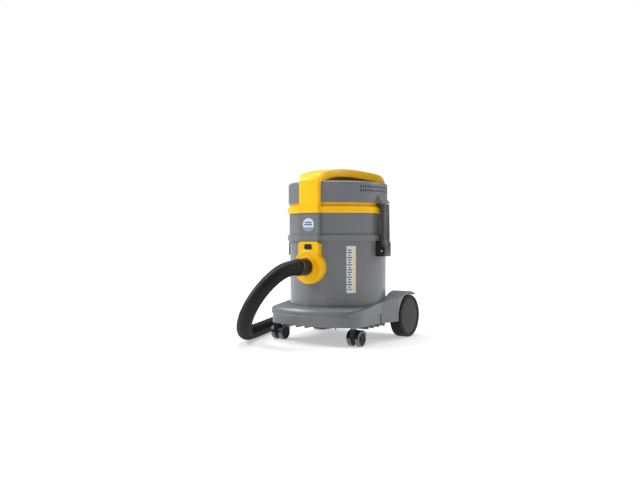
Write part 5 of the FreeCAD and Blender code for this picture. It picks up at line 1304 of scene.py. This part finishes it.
# ------------------------------------------------------------------------------ handle
@dataclass
class CarryHandle:
    """Yellow carrying handle with softened edges."""

    edge: float = 0.0032
    merge: float = 0.00002

    def build(self, report: Report) -> None:
        """Soften a merged copy of the handle's shell."""
        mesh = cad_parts["carry_handle"].data.copy()
        piece = bpy.data.objects.new("handle_shell", mesh)
        bpy.context.scene.collection.objects.link(piece)
        with Bench.editing(piece):
            bpy.ops.mesh.select_all(action="SELECT")
            bpy.ops.mesh.remove_doubles(threshold=self.merge)
            bpy.ops.mesh.select_all(action="SELECT")
            bpy.ops.mesh.dissolve_limited(angle_limit=math.radians(1.0))
        Bench.soften(piece, self.edge, angle=32.0)
        report.add(piece, "head", Finish.YELLOW, "yellow_plastic", ["carry_handle"])


# ------------------------------------------------------------------------------ button
@dataclass
class ReleaseButton:
    """Dark release button with cut corners, a sunk finger pad and its spring's recess."""

    corner: float = 0.004
    lip: float = 0.0015
    pad_depth: float = 0.0008
    edge: float = 0.0006
    recess_wall: float = 0.0032
    recess_depth: float = 0.0042

    def build(self, report: Report) -> None:
        """Shape the button from a block."""
        low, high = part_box("release_button")
        piece = Bench.box("button_cap", tuple(low), tuple(high))
        with Bench.editing(piece):
            Bench.pick_edges(piece, lambda at, way: abs(way.y) > FACING)
            bpy.ops.mesh.bevel(offset=self.corner, segments=1)
            Bench.pick_faces(piece, lambda at, way: way.y < -FACING)
            bpy.ops.mesh.inset(thickness=self.lip, depth=0)
            bpy.ops.mesh.inset(thickness=self.lip / 2, depth=-self.pad_depth)
            Bench.pick_faces(piece, lambda at, way: way.y > FACING)
            bpy.ops.mesh.inset(thickness=self.recess_wall, depth=0)
            Bench.extrude((0, -self.recess_depth, 0))
        Bench.soften(piece, self.edge, segments=2, angle=30.0)
        report.add(piece, "button", Finish.BLACK, "black_plastic", ["release_button"])


# ------------------------------------------------------------------------------ filter
@dataclass
class FilterBag:
    """Sewn felt basket: gathered wall, a welted seam round its floor and a sagging middle.

    gather is the share of fold_depth that a ring's folds have.
    """

    folds: int = 26
    fold_depth: float = 0.0014
    wall: float = 0.0018
    rim_gap: float = 0.0006
    mouth_drop: float = 0.0002
    taper: float = 0.022
    waist: float = 0.003
    sag: float = 0.006
    floor_gap: float = 0.0005
    welt: float = 0.0006
    welt_out: float = 0.0012
    welt_in: float = 0.002
    welt_gather: float = 0.2
    floor_shares: tuple[float, ...] = (0.92, 0.8, 0.65, 0.5, 0.35, 0.2, 0.08)
    floor_gather: float = 0.25
    rings: int = 14
    sides: int = 208

    def outline(self, top: float, mouth_z: float, floor_z: float) -> list[Point]:
        """Radius, height and gather of each ring, from the mouth to the floor's middle."""
        seam = top - self.taper
        rings = []
        for step in range(self.rings + 1):
            share = step / self.rings
            swell = math.sin(math.pi * share)
            rings.append((top - self.taper * share - self.waist * swell,
                          mouth_z - self.mouth_drop + (floor_z - mouth_z) * share, swell))
        rings += [(seam + self.welt_out, floor_z - self.welt, self.welt_gather),
                  (seam - self.welt_in, floor_z - 2 * self.welt, self.welt_gather)]
        rings += [(seam * share, floor_z - self.sag * (1 - share ** 2), self.floor_gather * share)
                  for share in self.floor_shares]
        return rings

    def build(self, report: Report) -> None:
        """Skin the basket from its mouth to the middle of its floor, then thicken it."""
        low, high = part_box("filter_cloth")
        centre = (low + high) / 2
        top = (high.x - low.x) / 2 - self.rim_gap
        floor_z = low.z + self.sag + self.floor_gap
        turns = [TURN * side / self.sides for side in range(self.sides)]
        loops = []
        for radius, height, gather in self.outline(top, high.z, floor_z):
            reaches = [radius - self.fold_depth * gather * (0.5 + 0.5 * math.cos(self.folds * turn))
                       for turn in turns]
            loops.append([(centre.x + reach * math.cos(turn), centre.y + reach * math.sin(turn),
                           height) for turn, reach in zip(turns, reaches)])
        piece = Bench.skin("filter_bag", loops, bag=True)
        Bench.modify(piece, "SOLIDIFY", thickness=self.wall, offset=-1.0)
        Bench.smooth(piece, angle=60.0)
        report.add(piece, "vacuum_body", Finish.FELT, "filter_fabric", ["filter_cloth"])


# -------------------------------------------------------------------------- CAD finishes
FRAME_FINISHES: dict[Finish, tuple[str, ...]] = {
    Finish.GREY_BASE: ("base_trolley",),
    Finish.GREY: ("tank", "filter_ring", "head_cover"),
    Finish.YELLOW: ("inlet_housing", "lid_ring"),
    Finish.BLACK: ("inlet_deflector", "switch_body", "cable_gland", "float_cage",
                   "latch_bracket_left", "latch_bracket_right"),
    Finish.HUB: ("rear_hub_left", "rear_hub_right"),
    Finish.CASTER: ("caster_hood_left", "caster_hood_right"),
    Finish.NATURAL: ("filter_rim", "shutoff_float", "motor_housing"),
    Finish.ROCKER: ("switch_rocker",),
    Finish.CARBON: ("carbon_brushes",),
    Finish.SEAL: ("tank_seal", "inlet_seal", "lid_seal", "motor_gasket"),
    Finish.STEEL: ("caster_stem_left", "caster_stem_right", "caster_axle_left",
                   "caster_axle_right", "axle_clips", "tank_screws", "head_screws",
                   "button_spring", "motor_clamp", "motor_shaft", "motor_bearings"),
    Finish.AXLE: ("rear_axle", "latch_pins"),
    Finish.ALUMINIUM: ("fan_housing", "fan_impeller"),
    Finish.WINDING: ("motor_stator", "motor_armature"),
}


def dress_frame(palette: Palette) -> None:
    """Give every CAD node that stays in view its finish."""
    for finish, nodes in FRAME_FINISHES.items():
        for node in nodes:
            palette.dress(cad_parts[node], finish)
    low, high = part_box("tank_label")
    label = PrintedFilm("label_film", low.z, high.z, (low.x + high.x) / 2, (high.x - low.x) / 2)
    palette.dress(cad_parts["tank_label"], label.make())
    low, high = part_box("front_badge")
    middle = (low + high) / 2
    badge = BadgeFilm("badge_film", (middle.x, middle.z), Finish.GREY.value.colour)
    palette.dress(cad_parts["front_badge"], badge.make())


def main() -> None:
    """Build the looks in order."""
    logging.basicConfig(level=logging.INFO, format="%(name)s: %(message)s")
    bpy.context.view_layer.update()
    palette = Palette()
    report = Report(palette)
    Studio().build()
    Hose().build(report)
    for maker in (RearWheels(), Casters(), Latches(), CarryHandle(), ReleaseButton(), FilterBag()):
        maker.build(report)
    dress_frame(palette)
    LOG.info("%d new pieces", report.count)


if __name__ == "__main__":
    main()
